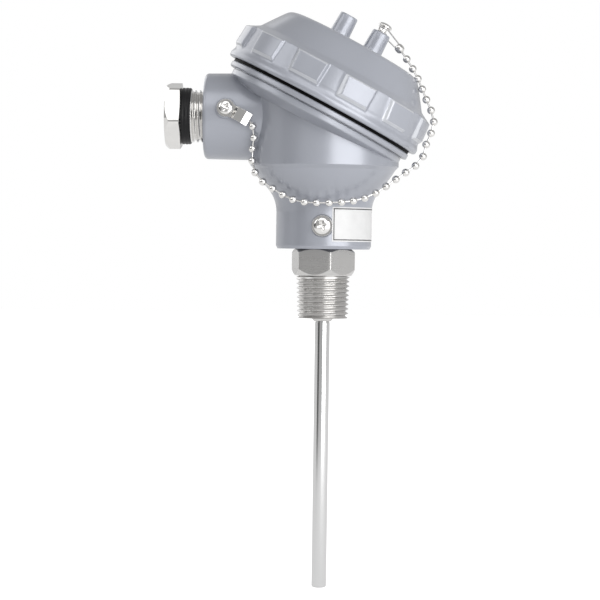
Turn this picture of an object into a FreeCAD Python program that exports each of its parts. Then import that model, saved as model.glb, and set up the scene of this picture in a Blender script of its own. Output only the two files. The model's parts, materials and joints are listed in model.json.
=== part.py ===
import FreeCAD, Part
import math
import os
import re
import Sketcher

# Resistance thermometer with a cast connection head
# Millimetres. The origin is on the probe's axis where the process thread meets its hexagon.
# +Z runs up into the head, the cable entry points to -X and the screw cover leans to +X.

Vector = FreeCAD.Vector
Rotation = FreeCAD.Rotation
Placement = FreeCAD.Placement

driving_sizes = {
    # process fitting
    "hex_height": 10.6,
    "hex_flats": 23.0,
    "hex_turn": -16.0,
    "thread_radius": 10.67,
    "thread_fall": 0.53,
    "thread_length": 17.0,
    "thread_pitch": 1.814,
    "thread_depth": 1.05,
    "weld_radius": 4.15,
    "weld_length": 1.3,
    "nipple_radius": 10.2,
    "nipple_length": 14.0,
    "nipple_bore": 7.5,
    "nipple_floor": 6.0,
    # probe
    "sheath_radius": 3.0,
    "sheath_wall": 0.5,
    "sheath_reach": 125.0,
    "sheath_rise": 27.0,
    "sheath_fit": 0.2,
    "sheath_relief": 0.5,
    "tip_round": 0.9,
    "tip_wall": 1.2,
    "element_radius": 1.5,
    "element_length": 15.0,
    "plug_length": 5.0,
    "wire_radius": 0.35,
    "wire_spacing": 1.6,
    "wire_bend": 2.0,
    "wire_clearance": 1.2,
    # cast head
    "neck_radius": 19.0,
    "neck_length": 14.6,
    "foot_bevel": 0.6,
    "foot_band": 1.2,
    "flare_spread": 3.4,
    "flare_rise": 9.1,
    "flare_arc": 13.9,
    "under_rise": 7.9,
    "under_arc": 60.0,
    "wall_radius": 29.6,
    "wall_thickness": 3.3,
    "edge_round": 1.4,
    "floor_radius": 18.0,
    "floor_rise": 3.2,
    "floor_cove": 8.5,
    "lead_hole": 7.0,
    "seal_offset": -1.6,
    "seal_level": 67.5,
    "cover_tilt": 27.6,
    "flange_radius": 39.8,
    "flange_edge": 0.4,
    "flange_thickness": 2.3,
    "ridge_inset": 2.0,
    "ridge_gap": 0.5,
    "ridge_thickness": 2.5,
    "ridge_flare": 2.6,
    "seal_width": 3.3,
    "spigot_wall": 4.0,
    "spigot_height": 9.2,
    "spigot_bevel": 0.7,
    "mouth_depth": 3.0,
    "entry_level": 63.0,
    "entry_radius": 17.1,
    "entry_draft": 0.4,
    "entry_reach": 48.0,
    "entry_round": 1.6,
    "entry_seat": 31.0,
    "cable_hole": 7.0,
    # cover
    "gasket_thickness": 1.2,
    "gasket_inset": 0.5,
    "lip_radius": 42.0,
    "lip_height": 2.0,
    "lip_edge": 0.8,
    "drum_radius": 40.3,
    "drum_wall": 3.8,
    "drum_foot": 6.4,
    "drum_sweep": 12.0,
    "shoulder_level": 14.8,
    "shoulder_width": 3.9,
    "dome_start": 16.8,
    "dome_radius": 29.6,
    "dome_level": 26.3,
    "dome_arc": 60.0,
    "dome_edge": 2.4,
    "crown_level": 28.0,
    "cover_wall": 3.2,
    "skirt_depth": 11.0,
    "cover_play": 0.5,
    "grip_radius": 43.0,
    "grip_count": 12,
    "grip_phase": 16.0,
    "grip_start": 6.6,
    "grip_face": 11.6,
    "grip_base": 14.2,
    "grip_root": 1.5,
    "grip_bevel": 1.7,
    "post_offset": 7.3,
    "post_radius": 3.75,
    "post_draft": 0.35,
    "post_level": 37.2,
    "post_edge": 0.5,
    # cover chain
    "ball_radius": 1.55,
    "ball_pitch": 4.88,
    "ball_flat": 0.5,
    "rod_radius": 0.4,
    "rod_play": 0.1,
    "chain_slack": 1.0,
    "loop_length": 7.6,
    "loop_eye": 2.7,
    "loop_end": 1.1,
    "loop_band": 0.75,
    "loop_thickness": 0.7,
    "loop_slope": 14.0,
    "loop_turn": -7.0,
    "loop_lift": 1.5,
    "hook_radius": 1.5,
    "hook_head": 2.8,
    "hook_head_height": 1.5,
    "hook_rise": 2.7,
    "hook_depth": 6.0,
    "slot_width": 0.8,
    "slot_depth": 0.7,
    "tab_place": 38.6,
    "tab_turn": 8.0,
    "tab_eye": 3.5,
    "tab_width": 5.2,
    "tab_thickness": 0.8,
    "tab_slope": 28.0,
    "tab_length": 10.6,
    "tab_step": 1.2,
    "tab_bend": 3.4,
    "tab_pad": 4.1,
    "tab_seat": 0.5,
    # small screws
    "tab_screw_radius": 1.7,
    "tab_screw_head": 2.7,
    "tab_screw_height": 1.7,
    "tab_screw_depth": 5.0,
    "neck_screw_level": 19.7,
    "neck_screw_radius": 2.3,
    "neck_screw_head": 3.3,
    "neck_screw_height": 2.1,
    "neck_washer": 4.1,
    "neck_washer_thickness": 0.8,
    "neck_spot": 4.5,
    "neck_spot_depth": 0.6,
    "recess_span": 3.4,
    "recess_width": 0.9,
    "recess_depth": 1.1,
    "head_round": 0.8,
    "screw_play": 0.05,
    # cable gland
    "gland_flats": 24.5,
    "gland_turn": 17.4,
    "gland_hex": 6.9,
    "gland_thread": 10.48,
    "gland_pitch": 1.814,
    "gland_depth": 0.9,
    "gland_shank": 13.2,
    "gland_bore": 6.0,
    "gland_gap": 5.3,
    "gland_play": 0.35,
    "ring_thickness": 4.0,
    "ring_radius": 11.3,
    "ring_round": 0.6,
    "grommet_length": 7.0,
    "grommet_bore": 5.0,
    "press_washer": 1.0,
    # terminal block
    "block_radius": 21.0,
    "block_base": 7.0,
    "block_island": 5.0,
    "island_length": 34.0,
    "island_width": 24.0,
    "block_bore": 3.5,
    "block_screw_place": 16.5,
    "block_screw_radius": 1.95,
    "block_screw_head": 3.5,
    "block_screw_height": 2.4,
    "block_screw_reach": 6.5,
    "block_washer": 4.3,
    "block_washer_thickness": 0.8,
    "seat_radius": 4.2,
    "seat_height": 3.2,
    "terminal_length": 8.0,
    "terminal_width": 6.0,
    "terminal_height": 7.0,
    "terminal_across": 22.0,
    "terminal_along": 12.4,
    "terminal_sink": 4.5,
    "terminal_play": 0.2,
    "clamp_radius": 1.6,
    "clamp_height": 1.2,
    "clamp_spacing": 4.2,
}

doc = FreeCAD.newDocument("thermometer")
sheet = doc.addObject("Spreadsheet::Sheet", "sizes")
for row, (name, value) in enumerate(driving_sizes.items(), start=1):
    sheet.set(f"A{row}", name)
    sheet.set(f"B{row}", str(value))
    sheet.setAlias(f"B{row}", name)
doc.recompute()

subparts = []

# Heights and reaches that follow from the driving sizes
neck_top = "(hex_height + neck_length)"
flare_top = f"({neck_top} + flare_rise)"
belly_level = f"({flare_top} + under_rise)"
floor_level = f"({flare_top} + floor_rise)"
seat_level = f"({floor_level} + seat_height)"
block_top = f"({seat_level} + block_base)"
island_top = f"({block_top} + block_island)"
flange_top = "(-gasket_thickness / 2)"
flange_foot = f"({flange_top} - flange_thickness)"
ridge_foot = f"({flange_foot} - ridge_gap - ridge_thickness)"
ridge_radius = "(flange_radius - ridge_inset)"
gasket_radius = "(flange_radius - gasket_inset)"
skirt_bore = "(min(drum_radius - drum_wall; flange_radius - seal_width))"
spigot_radius = f"({skirt_bore} - cover_play)"
spigot_top = f"({flange_top} + spigot_height)"
mouth_radius = f"({spigot_radius} - spigot_wall)"
cover_foot = "(gasket_thickness / 2)"
dome_foot = "(drum_radius - shoulder_width)"
cover_reach = "(max(grip_radius; drum_radius; flange_radius))"
gland_face = "(entry_reach + gland_gap + ring_thickness)"
shaft_hole = "(gland_thread + gland_play)"


def bound(text):
    # every name in a formula is a cell of the sheet
    return re.sub(r"[a-z]+(?:_[a-z]+)+", r"sizes.\g<0>", text)


def size(text):
    return float(sheet.evalExpression(text))


def new_body(label):
    body = doc.addObject("PartDesign::Body", label)
    body.Label = label
    subparts.append(body)
    return body


def origin_feature(body, role):
    return next(item for item in body.Origin.OriginFeatures if item.Role == role)


def attach(body, sketch, plane, shift=(), axis=None, turn=None):
    # shift moves the sketch along its own axes; turn swings it about one of them
    sketch.AttachmentSupport = [(origin_feature(body, plane), "")]
    sketch.MapMode = "FlatFace"
    if turn:
        sketch.AttachmentOffset = Placement(Vector(), Rotation(axis, size(turn)))
        sketch.setExpression("AttachmentOffset.Rotation.Angle", bound(turn))
    for letter, formula in zip("xyz", shift):
        sketch.setExpression(f"AttachmentOffset.Base.{letter}", bound(formula))


def fix(sketch, constraint, formula):
    index = sketch.addConstraint(constraint)
    sketch.setExpression(f"Constraints[{index}]", bound(formula))


def arc_between(start, end, radius, side):
    # the shorter arc; its centre lies on the named side of the way from start to end
    chord = end - start
    rise = math.sqrt(max(radius ** 2 - (chord.Length / 2) ** 2, 0.0))
    across = Vector(-chord.y, chord.x, 0).normalize() * (rise if side == "left" else -rise)
    centre = (start + end) / 2 + across
    first, last = (start, end) if side == "left" else (end, start)
    angles = [math.atan2(point.y - centre.y, point.x - centre.x) for point in (first, last)]
    return Part.ArcOfCircle(Part.Circle(centre, Vector(0, 0, 1), radius), *angles)


def outline(body, name, plane, loops, **place):
    # a closed loop is a list of corners (x, y); with a radius and a side, the way on is an arc
    sketch = body.newObject("Sketcher::SketchObject", name)
    attach(body, sketch, plane, **place)
    for corners in loops:
        points = [Vector(size(corner[0]), size(corner[1]), 0) for corner in corners]
        sides = []
        for number, corner in enumerate(corners):
            start, end = points[number], points[(number + 1) % len(points)]
            if len(corner) == 2:
                sides.append((sketch.addGeometry(Part.LineSegment(start, end)), 1, 2))
                continue
            shape = arc_between(start, end, size(corner[2]), corner[3])
            ends = (1, 2) if corner[3] == "left" else (2, 1)
            sides.append((sketch.addGeometry(shape), *ends))
        for number, corner in enumerate(corners):
            edge, first, last = sides[number]
            after, after_first, _ = sides[(number + 1) % len(sides)]
            sketch.addConstraint(Sketcher.Constraint("Coincident", edge, last, after, after_first))
            spot = points[number]
            fix(sketch, Sketcher.Constraint("DistanceX", -1, 1, edge, first, spot.x), corner[0])
            fix(sketch, Sketcher.Constraint("DistanceY", -1, 1, edge, first, spot.y), corner[1])
            if len(corner) > 2:
                fix(sketch, Sketcher.Constraint("Radius", edge, size(corner[2])), corner[2])
    return sketch


def circles(body, name, plane, rings, **place):
    # rings are (x, y, radius)
    sketch = body.newObject("Sketcher::SketchObject", name)
    attach(body, sketch, plane, **place)
    for ring in rings:
        x, y, radius = [size(formula) for formula in ring]
        edge = sketch.addGeometry(Part.Circle(Vector(x, y, 0), Vector(0, 0, 1), radius))
        fix(sketch, Sketcher.Constraint("DistanceX", -1, 1, edge, 3, x), ring[0])
        fix(sketch, Sketcher.Constraint("DistanceY", -1, 1, edge, 3, y), ring[1])
        fix(sketch, Sketcher.Constraint("Radius", edge, radius), ring[2])
    return sketch


def turned_about(body, name, sketch, about, cut):
    kind = "PartDesign::Groove" if cut else "PartDesign::Revolution"
    feature = body.newObject(kind, name)
    feature.Profile = sketch
    feature.ReferenceAxis = (sketch, [about])
    feature.Angle = 360
    return feature


def turned(body, name, corners, about="V_Axis", cut=False, **place):
    sketch = outline(body, name + "_outline", "XZ_Plane", [corners], **place)
    return turned_about(body, name, sketch, about, cut)


def raised(body, name, sketch, length):
    feature = body.newObject("PartDesign::Pad", name)
    feature.Profile = sketch
    feature.setExpression("Length", bound(length))
    return feature


def sunk(body, name, sketch, depth):
    feature = body.newObject("PartDesign::Pocket", name)
    feature.Profile = sketch
    feature.setExpression("Length", bound(depth))
    return feature


def copied_around(body, name, feature, count):
    pattern = body.newObject("PartDesign::PolarPattern", name)
    pattern.Originals = [feature]
    pattern.Axis = (origin_feature(body, "Z_Axis"), [""])
    pattern.Angle = 360
    pattern.setExpression("Occurrences", bound(count))
    body.Tip = pattern


def in_cover_frame(item):
    # local Z becomes the cover's own axis, from the middle of the seal
    item.Placement = Placement(Vector(), Rotation(Vector(0, 1, 0), size("cover_tilt")))
    item.setExpression("Placement.Base.x", bound("seal_offset"))
    item.setExpression("Placement.Base.z", bound("seal_level"))
    item.setExpression("Placement.Rotation.Angle", bound("cover_tilt"))


def along_entry(item, reach):
    # local Z points out of the cable entry, local X up
    item.Placement = Placement(Vector(), Rotation(Vector(0, 1, 0), -90))
    item.setExpression("Placement.Base.x", bound(f"-{reach}"))
    item.setExpression("Placement.Base.z", bound("entry_level"))


def tube(low, high, inner, outer):
    return [(inner, low), (outer, low), (outer, high), (inner, high)]


def rod(low, high, radius):
    return tube(low, high, "0", radius)


def hexagon(flats, turn):
    corner = f"{flats} / 2 / cos(30)"
    return [(f"{corner} * cos({turn} + {60 * step})", f"{corner} * sin({turn} + {60 * step})")
            for step in range(6)]


def hexagon_bevel(body, name, flats, level, upward):
    # the turned 30 degree bevel that rounds the corners of a hexagon's end
    inner = f"({flats} / 2 - 0.2)"
    outer = f"({flats} * 0.6)"
    way = "-" if upward else "+"
    beyond = "+" if upward else "-"
    turned(body, name, [
        (inner, level),
        (outer, f"{level} {way} ({outer} - {inner}) * tan(30)"),
        (outer, f"{level} {beyond} 1"),
        (inner, f"{level} {beyond} 1"),
    ], cut=True)


def cross_recess(body, name, plane, **place):
    arm = "recess_span / 2"
    half = "recess_width / 2"
    corners = [(arm, f"-{half}"), (arm, half), (half, half), (half, arm), (f"-{half}", arm),
               (f"-{half}", half), (f"-{arm}", half), (f"-{arm}", f"-{half}"),
               (f"-{half}", f"-{half}"), (f"-{half}", f"-{arm}"), (half, f"-{arm}"),
               (half, f"-{half}")]
    sunk(body, name, outline(body, name + "_outline", plane, [corners], **place), "recess_depth")


def pan_screw(label, seat, head, height, shank, depth):
    # head above its seat on the XY plane, shank below, with a rounded rim and a cross recess
    body = new_body(label)
    turned(body, "screw", [
        ("0", f"-({depth})"),
        (shank, f"-({depth})"),
        (shank, seat),
        (head, seat),
        (head, f"{seat} + {height} - head_round", "head_round", "left"),
        (f"{head} - head_round", f"{seat} + {height}"),
        ("0", f"{seat} + {height}"),
    ])
    cross_recess(body, "recess", "XY_Plane", shift=("0", "0", f"{seat} + {height}"))
    return body


# Cast aluminium connection head

def build_head_body():
    body = new_body("head_body")
    wall_top = "seal_level + wall_radius * tan(cover_tilt)"
    turned(body, "bowl", [
        ("0", "hex_height"),
        ("neck_radius - foot_bevel", "hex_height"),
        ("neck_radius", "hex_height + foot_band"),
        ("neck_radius", neck_top, "flare_arc", "right"),
        ("neck_radius + flare_spread", flare_top, "under_arc", "left"),
        ("wall_radius - edge_round", belly_level),
        ("wall_radius", f"{belly_level} + edge_round"),
        ("wall_radius", wall_top),
        ("0", wall_top),
    ])
    leaning = {"shift": ("seal_offset", "seal_level"), "axis": Vector(0, 0, 1),
               "turn": "-cover_tilt"}
    slice_level = f"({flange_foot} - ridge_gap)"
    above = outline(body, "above_flange", "XZ_Plane", [[
        ("-2 * flange_radius", slice_level),
        ("2 * flange_radius", slice_level),
        ("2 * flange_radius", "flange_radius"),
        ("-2 * flange_radius", "flange_radius"),
    ]], **leaning)
    slanted_cut = sunk(body, "slanted_cut", above, "4 * flange_radius")
    slanted_cut.SideType = "Symmetric"
    turned(body, "flange", [
        ("0", f"{ridge_foot} - ridge_flare"),
        ("wall_radius", f"{ridge_foot} - ridge_flare"),
        (f"{ridge_radius} - flange_edge", ridge_foot),
        (ridge_radius, f"{ridge_foot} + flange_edge"),
        (ridge_radius, f"{flange_foot} - ridge_gap"),
        (f"{ridge_radius} - ridge_gap", f"{flange_foot} - ridge_gap"),
        (f"{ridge_radius} - ridge_gap", flange_foot),
        ("flange_radius - flange_edge", flange_foot),
        ("flange_radius", f"{flange_foot} + flange_edge"),
        ("flange_radius", f"{flange_top} - flange_edge"),
        ("flange_radius - flange_edge", flange_top),
        (spigot_radius, flange_top),
        (spigot_radius, f"{spigot_top} - spigot_bevel"),
        (f"{spigot_radius} - spigot_bevel", spigot_top),
        ("0", spigot_top),
    ], **leaning)
    at_entry = {"shift": ("0", "entry_level")}
    turned(body, "entry_boss", [
        ("-wall_radius / 2", "0"),
        ("-wall_radius / 2", "entry_radius + entry_draft"),
        ("-entry_reach + entry_round", "entry_radius", "entry_round", "left"),
        ("-entry_reach", "entry_radius - entry_round"),
        ("-entry_reach", "0"),
    ], about="H_Axis", **at_entry)
    inner_wall = "(wall_radius - wall_thickness)"
    chamber_top = f"seal_level + {inner_wall} * tan(cover_tilt)"
    turned(body, "chamber", [
        ("0", floor_level),
        ("floor_radius", floor_level),
        (inner_wall, f"{floor_level} + floor_cove"),
        (inner_wall, chamber_top),
        ("0", chamber_top),
    ], cut=True)
    turned(body, "mouth", rod("-mouth_depth", f"{spigot_top} + 1", mouth_radius),
           cut=True, **leaning)
    turned(body, "entry_bore", [
        ("-entry_reach - 1", "0"),
        ("-entry_reach - 1", shaft_hole),
        ("-entry_seat", shaft_hole),
        ("-entry_seat", "cable_hole"),
        ("-wall_radius / 2", "cable_hole"),
        ("-wall_radius / 2", "0"),
    ], about="H_Axis", cut=True, **at_entry)
    socket_top = "(hex_height + nipple_length + 1)"
    turned(body, "neck_bore", [
        ("0", "hex_height - 1"),
        ("nipple_radius + screw_play", "hex_height - 1"),
        ("nipple_radius + screw_play", socket_top),
        ("lead_hole", f"{socket_top} + nipple_radius - lead_hole"),
        ("lead_hole", f"{floor_level} + 1"),
        ("0", f"{floor_level} + 1"),
    ], cut=True)
    seats = circles(body, "block_seats", "XY_Plane", [
        ("0", "block_screw_place", "seat_radius"),
        ("0", "-block_screw_place", "seat_radius"),
    ], shift=("0", "0", f"{floor_level} - 1"))
    raised(body, "block_seat_pads", seats, "seat_height + 1")
    tapped = circles(body, "seat_holes", "XY_Plane", [
        ("0", "block_screw_place", "block_screw_radius + screw_play"),
        ("0", "-block_screw_place", "block_screw_radius + screw_play"),
    ], shift=("0", "0", seat_level))
    sunk(body, "seat_threads", tapped, "block_screw_reach + 0.5")
    front = {"shift": ("0", "neck_screw_level", "neck_radius")}
    spot = circles(body, "neck_spot_ring", "XZ_Plane", [("0", "0", "neck_spot")], **front)
    sunk(body, "neck_spot_face", spot, "neck_spot_depth")
    tap = circles(body, "neck_tap_ring", "XZ_Plane",
                  [("0", "0", "neck_screw_radius + screw_play")], **front)
    sunk(body, "neck_tap", tap, "neck_radius - nipple_radius")
    swung = {"axis": Vector(1, 0, 0), "turn": "-tab_turn",
             "shift": ("-tab_place", "entry_level + (entry_radius + tab_seat) * sin(tab_turn)",
                       "(entry_radius + tab_seat) * cos(tab_turn)")}
    seat = circles(body, "tab_seat_ring", "XZ_Plane", [("0", "0", "tab_pad")], **swung)
    pad = raised(body, "tab_seat_pad", seat, "tab_seat + 1")
    pad.Reversed = True
    hole = circles(body, "tab_tap_ring", "XZ_Plane",
                   [("0", "0", "tab_screw_radius + screw_play")], **swung)
    sunk(body, "tab_tap", hole, "tab_screw_depth + 0.4")


# Screw cover with twelve grip blocks and two posts

def build_cover():
    body = new_body("cover")
    roof = "(crown_level - cover_wall)"
    turned(body, "dome", [
        (skirt_bore, cover_foot),
        ("lip_radius - lip_edge", cover_foot),
        ("lip_radius", f"{cover_foot} + lip_edge"),
        ("lip_radius", f"{cover_foot} + lip_height", "drum_sweep", "right"),
        ("drum_radius + 0.2", "drum_foot"),
        ("drum_radius", "shoulder_level - 0.6"),
        ("drum_radius - 0.6", "shoulder_level"),
        (dome_foot, "dome_start"),
        ("dome_radius", "dome_level", "dome_edge", "left"),
        ("dome_radius - dome_edge", "dome_level + dome_edge * 0.55"),
        ("0", "crown_level"),
        ("0", roof),
        ("dome_radius - cover_wall", f"{roof} - 0.4"),
        (skirt_bore, "skirt_depth + 2"),
    ])
    in_cover_frame(body)
    half_face = "grip_face / 2"
    face_x = "sqrt(grip_radius ^ 2 - (grip_face / 2) ^ 2)"
    root_x = "drum_radius - grip_root"
    block = outline(body, "grip_plan", "XY_Plane", [[
        (root_x, "-grip_base / 2"),
        (face_x, f"-{half_face}", "grip_radius", "left"),
        (face_x, half_face),
        (root_x, "grip_base / 2"),
    ]], shift=("0", "0", "grip_start"), axis=Vector(0, 0, 1), turn="grip_phase")
    pad = raised(body, "grip_block", block, "shoulder_level - grip_start")
    copied_around(body, "grip_blocks", pad, "grip_count")
    beyond = "grip_radius + 1"
    turned(body, "grip_feet", [
        ("drum_radius + 0.3", "grip_start"),
        ("drum_radius + 0.3", "grip_start - 0.4"),
        (beyond, "grip_start - 0.4"),
        (beyond, "grip_start + grip_bevel"),
    ], cut=True)
    turned(body, "grip_tops", [
        ("drum_radius", "shoulder_level"),
        (beyond, "shoulder_level - grip_bevel / 2"),
        (beyond, "shoulder_level + 1"),
        ("drum_radius", "shoulder_level + 1"),
    ], cut=True)
    post = turned(body, "post", [
        ("0", "dome_level"),
        ("post_radius + post_draft", "dome_level"),
        ("post_radius", "post_level - post_edge"),
        ("post_radius - post_edge", "post_level"),
        ("0", "post_level"),
    ], shift=("post_offset", "0"))
    twin = body.newObject("PartDesign::Mirrored", "twin_post")
    twin.Originals = [post]
    twin.MirrorPlane = (origin_feature(body, "YZ_Plane"), [""])
    body.Tip = twin
    tap = circles(body, "hook_tap_ring", "XY_Plane",
                  [("post_offset", "0", "hook_radius + screw_play")], shift=("0", "0", "post_level"))
    sunk(body, "hook_tap", tap, "hook_depth + 0.4")


def build_gasket():
    body = new_body("cover_gasket")
    turned(body, "gasket", tube(flange_top, f"{cover_foot} - screw_play",
                                skirt_bore, gasket_radius))
    in_cover_frame(body)


# Screw, loop, balls and rods that tie the cover to the head

def build_chain_screw():
    body = new_body("chain_screw")
    head_foot = "(post_level + hook_rise)"
    head_top = f"({head_foot} + hook_head_height)"
    turned(body, "screw", [
        ("0", "post_level - hook_depth"),
        ("hook_radius", "post_level - hook_depth"),
        ("hook_radius", head_foot),
        ("hook_head", head_foot),
        ("hook_head", f"{head_top} - head_round", "head_round", "left"),
        ("hook_head - head_round", head_top),
        ("0", head_top),
    ], shift=("post_offset", "0"))
    slot = outline(body, "slot_outline", "XY_Plane", [[
        ("post_offset - slot_width / 2", "-hook_head - 1"),
        ("post_offset + slot_width / 2", "-hook_head - 1"),
        ("post_offset + slot_width / 2", "hook_head + 1"),
        ("post_offset - slot_width / 2", "hook_head + 1"),
    ]], shift=("0", "0", head_top))
    sunk(body, "slot", slot, "slot_depth")
    in_cover_frame(body)


def teardrop(eye, end, length):
    # two arcs joined by their outer tangents
    lean_angle = f"acos(({eye} - {end}) / ({length}))"
    near_x, near_y = f"{eye} * cos({lean_angle})", f"{eye} * sin({lean_angle})"
    far_x, far_y = f"{length} + {end} * cos({lean_angle})", f"{end} * sin({lean_angle})"
    return [(near_x, f"-{near_y}"), (far_x, f"-{far_y}", end, "left"), (far_x, far_y),
            (near_x, near_y, eye, "left"), (f"-{eye}", "0", eye, "left")]


def cover_place():
    tilt = Rotation(Vector(0, 1, 0), size("cover_tilt"))
    return Placement(Vector(size("seal_offset"), 0, size("seal_level")), tilt)


def loop_place():
    swing = Rotation(Vector(0, 0, 1), size("loop_turn"))
    slope = Rotation(Vector(0, 1, 0), size("loop_slope"))
    eye = Vector(size("post_offset"), 0, size("post_level + loop_lift"))
    return cover_place().multiply(Placement(eye, swing.multiply(slope)))


def build_chain_loop():
    body = new_body("chain_loop")
    flat = outline(body, "loop_outline", "XY_Plane", [
        teardrop("loop_eye", "loop_end", "loop_length"),
        teardrop("(loop_eye - loop_band)", "(loop_end - loop_band)", "loop_length"),
    ], shift=("0", "0", "-loop_thickness / 2"))
    raised(body, "loop", flat, "loop_thickness")
    body.Placement = loop_place()


def tab_place():
    # local Z leaves the cable boss, local X runs down the strip
    face = Rotation(Vector(1, 0, 0), 90 - size("tab_turn"))
    slope = Rotation(Vector(0, 0, 1), -size("tab_slope"))
    out = size("entry_radius + tab_seat")
    lift = math.radians(size("tab_turn"))
    spot = Vector(-size("tab_place"), -out * math.cos(lift), size("entry_level") + out * math.sin(lift))
    return Placement(spot, face.multiply(slope))


def build_chain_tab():
    body = new_body("chain_tab")
    side = outline(body, "strip_side", "XZ_Plane", [[
        ("0", "0"),
        ("tab_bend", "0"),
        ("tab_bend + tab_step", "tab_step"),
        ("tab_length - 2 * tab_step", "tab_step"),
        ("tab_length", "tab_step / 3"),
        ("tab_length", "tab_step / 3 + tab_thickness"),
        ("tab_length - 2 * tab_step", "tab_step + tab_thickness"),
        ("tab_bend + tab_step", "tab_step + tab_thickness"),
        ("tab_bend", "tab_thickness"),
        ("0", "tab_thickness"),
    ]])
    strip = raised(body, "strip", side, "tab_width")
    strip.SideType = "Symmetric"
    eye = circles(body, "eye_ring", "XY_Plane", [("0", "0", "tab_eye")])
    raised(body, "eye", eye, "tab_thickness")
    hole = circles(body, "eye_hole_ring", "XY_Plane",
                   [("0", "0", "tab_screw_radius + 4 * screw_play")],
                   shift=("0", "0", "tab_thickness"))
    sunk(body, "eye_hole", hole, "tab_thickness + 1")
    body.Placement = tab_place()


def build_tab_screw():
    body = pan_screw("tab_screw", "tab_thickness", "tab_screw_head", "tab_screw_height",
                     "tab_screw_radius", "tab_screw_depth")
    body.Placement = tab_place()


def chain_route():
    # hand-picked way of the chain, in steps of its slack off what it passes: bearing, radius
    # and height about the probe's axis, then three coordinates each in the cover's own frame
    around_head = [
        (214.0, "wall_radius", 4.7, "entry_level", -3.2),
        (212.8, "wall_radius", 2.9, "entry_level", -8.4),
        (207.8, "wall_radius", 2.1, "entry_level", -13.4),
        (209.8, "wall_radius", 1.1, belly_level, -2.2),
        (222.0, "neck_radius", 6.4, belly_level, -8.6),
        (241.5, "neck_radius", 3.6, neck_top, 4.4),
        (268.0, "neck_radius", 3.0, neck_top, 3.5),
        (292.5, "neck_radius", 4.2, neck_top, 4.0),
        (314.5, "neck_radius", 6.5, neck_top, 6.2),
        (327.0, "wall_radius", 0.9, belly_level, -6.1),
        (336.0, "wall_radius", 6.0, belly_level, -1.0),
        (342.0, "flange_radius", 1.2, belly_level, 5.0),
    ]
    over_cover = [
        (cover_reach, 1.2, -12.6, "drum_foot", -0.5),
        (cover_reach, 0.8, -12.8, "shoulder_level", -4.3),
        (cover_reach, 0.1, -12.4, "shoulder_level", 0.2),
        (dome_foot, 0.7, -9.6, "dome_start", 5.4),
        ("dome_radius", -0.6, -5.6, "crown_level", 1.0),
    ]
    slack = size("chain_slack")
    points = []
    for bearing, radius, off, level, above in around_head:
        spin = math.radians(bearing)
        reach = size(radius) + off * slack
        points.append(Vector(reach * math.cos(spin), reach * math.sin(spin),
                             size(level) + above * slack))
    for outward, off, sideways, level, above in over_cover:
        spot = Vector(size(outward) + off * slack, sideways * slack, size(level) + above * slack)
        points.append(cover_place().multVec(spot))
    tab_end = tab_place().multVec(Vector(size("tab_length + 4 * rod_play"), 0,
                                         size("tab_step / 3 + tab_thickness / 2")))
    loop_end = loop_place().multVec(Vector(size("loop_length + loop_end + 2 * rod_play"), 0, 0))
    way = Part.BSplineCurve()
    way.interpolate([tab_end] + points + [loop_end])
    return way


def ball():
    # short turned barrel with a flat at each hole
    radius = size("ball_radius")
    flat = size("ball_flat")
    latitudes = [math.asin(flat / radius)] + [math.radians(step) for step in (45, 72)]
    near = [(radius * math.sin(turn), -radius * math.cos(turn)) for turn in latitudes]
    far = [(across, -along) for across, along in reversed(near)]
    corners = [Vector(0, 0, near[0][1])] + [Vector(x, 0, z) for x, z in near + far]
    corners.append(Vector(0, 0, far[-1][1]))
    face = Part.Face(Part.makePolygon(corners + corners[:1]))
    return face.revolve(Vector(), Vector(0, 0, 1), 360)


def chain_node(label, shapes):
    item = doc.addObject("Part::Feature", label)
    item.Label = label
    item.Shape = Part.makeCompound(shapes)
    item.Placement = Placement()
    subparts.append(item)


def build_chain():
    way = chain_route()
    length = way.length()
    count = round(length / size("ball_pitch"))
    step = length / count
    stations = [(number + 0.5) * step for number in range(count)]
    centres = [way.value(way.parameterAtDistance(station)) for station in stations]
    cover_axis = cover_place().Rotation.multVec(Vector(0, 0, 1))
    seal_centre = cover_place().Base
    split = size("shoulder_level - grip_bevel")
    inset = size("sqrt(ball_radius ^ 2 - ball_flat ^ 2) + rod_play")
    model_ball = ball()
    groups = {"lower": ([], []), "upper": ([], [])}

    def group_at(point):
        height = (point - seal_centre).dot(cover_axis)
        return groups["upper" if height > split else "lower"]

    for centre, station in zip(centres, stations):
        _, heading = tangent_at(way, station)
        turn = Rotation(Vector(0, 0, 1), heading)
        placed = model_ball.copy()
        placed.Placement = Placement(centre, turn)
        group_at(centre)[0].append(placed)
    start, end = way.value(way.FirstParameter), way.value(way.LastParameter)
    stops = [start] + centres + [end]
    for number, (near, far) in enumerate(zip(stops, stops[1:])):
        heading = (far - near).normalize()
        first = near if number == 0 else near + heading * inset
        last = far if number == count else far - heading * inset
        link = Part.makeCylinder(size("rod_radius"), (last - first).Length, first, heading)
        group_at(far)[1].append(link)
    for name, (balls, links) in groups.items():
        chain_node(f"{name}_chain_balls", balls)
        chain_node(f"{name}_chain_links", links)


def tangent_at(way, station):
    parameter = way.parameterAtDistance(station)
    return way.value(parameter), Vector(*way.tangent(parameter)[0])


# Clamp screw on the neck

def on_neck(item):
    item.Placement = Placement(Vector(), Rotation(Vector(1, 0, 0), 90))
    item.setExpression("Placement.Base.y", bound("neck_spot_depth - neck_radius"))
    item.setExpression("Placement.Base.z", bound("neck_screw_level"))


def build_neck_screw():
    washer = new_body("neck_washer")
    turned(washer, "washer", tube("0", "neck_washer_thickness",
                                  "neck_screw_radius + screw_play", "neck_washer"))
    on_neck(washer)
    depth = "neck_radius - neck_spot_depth - nipple_radius - 2 * screw_play"
    screw = pan_screw("neck_screw", "neck_washer_thickness", "neck_screw_head",
                      "neck_screw_height", "neck_screw_radius", depth)
    on_neck(screw)


# Cable gland

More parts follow.
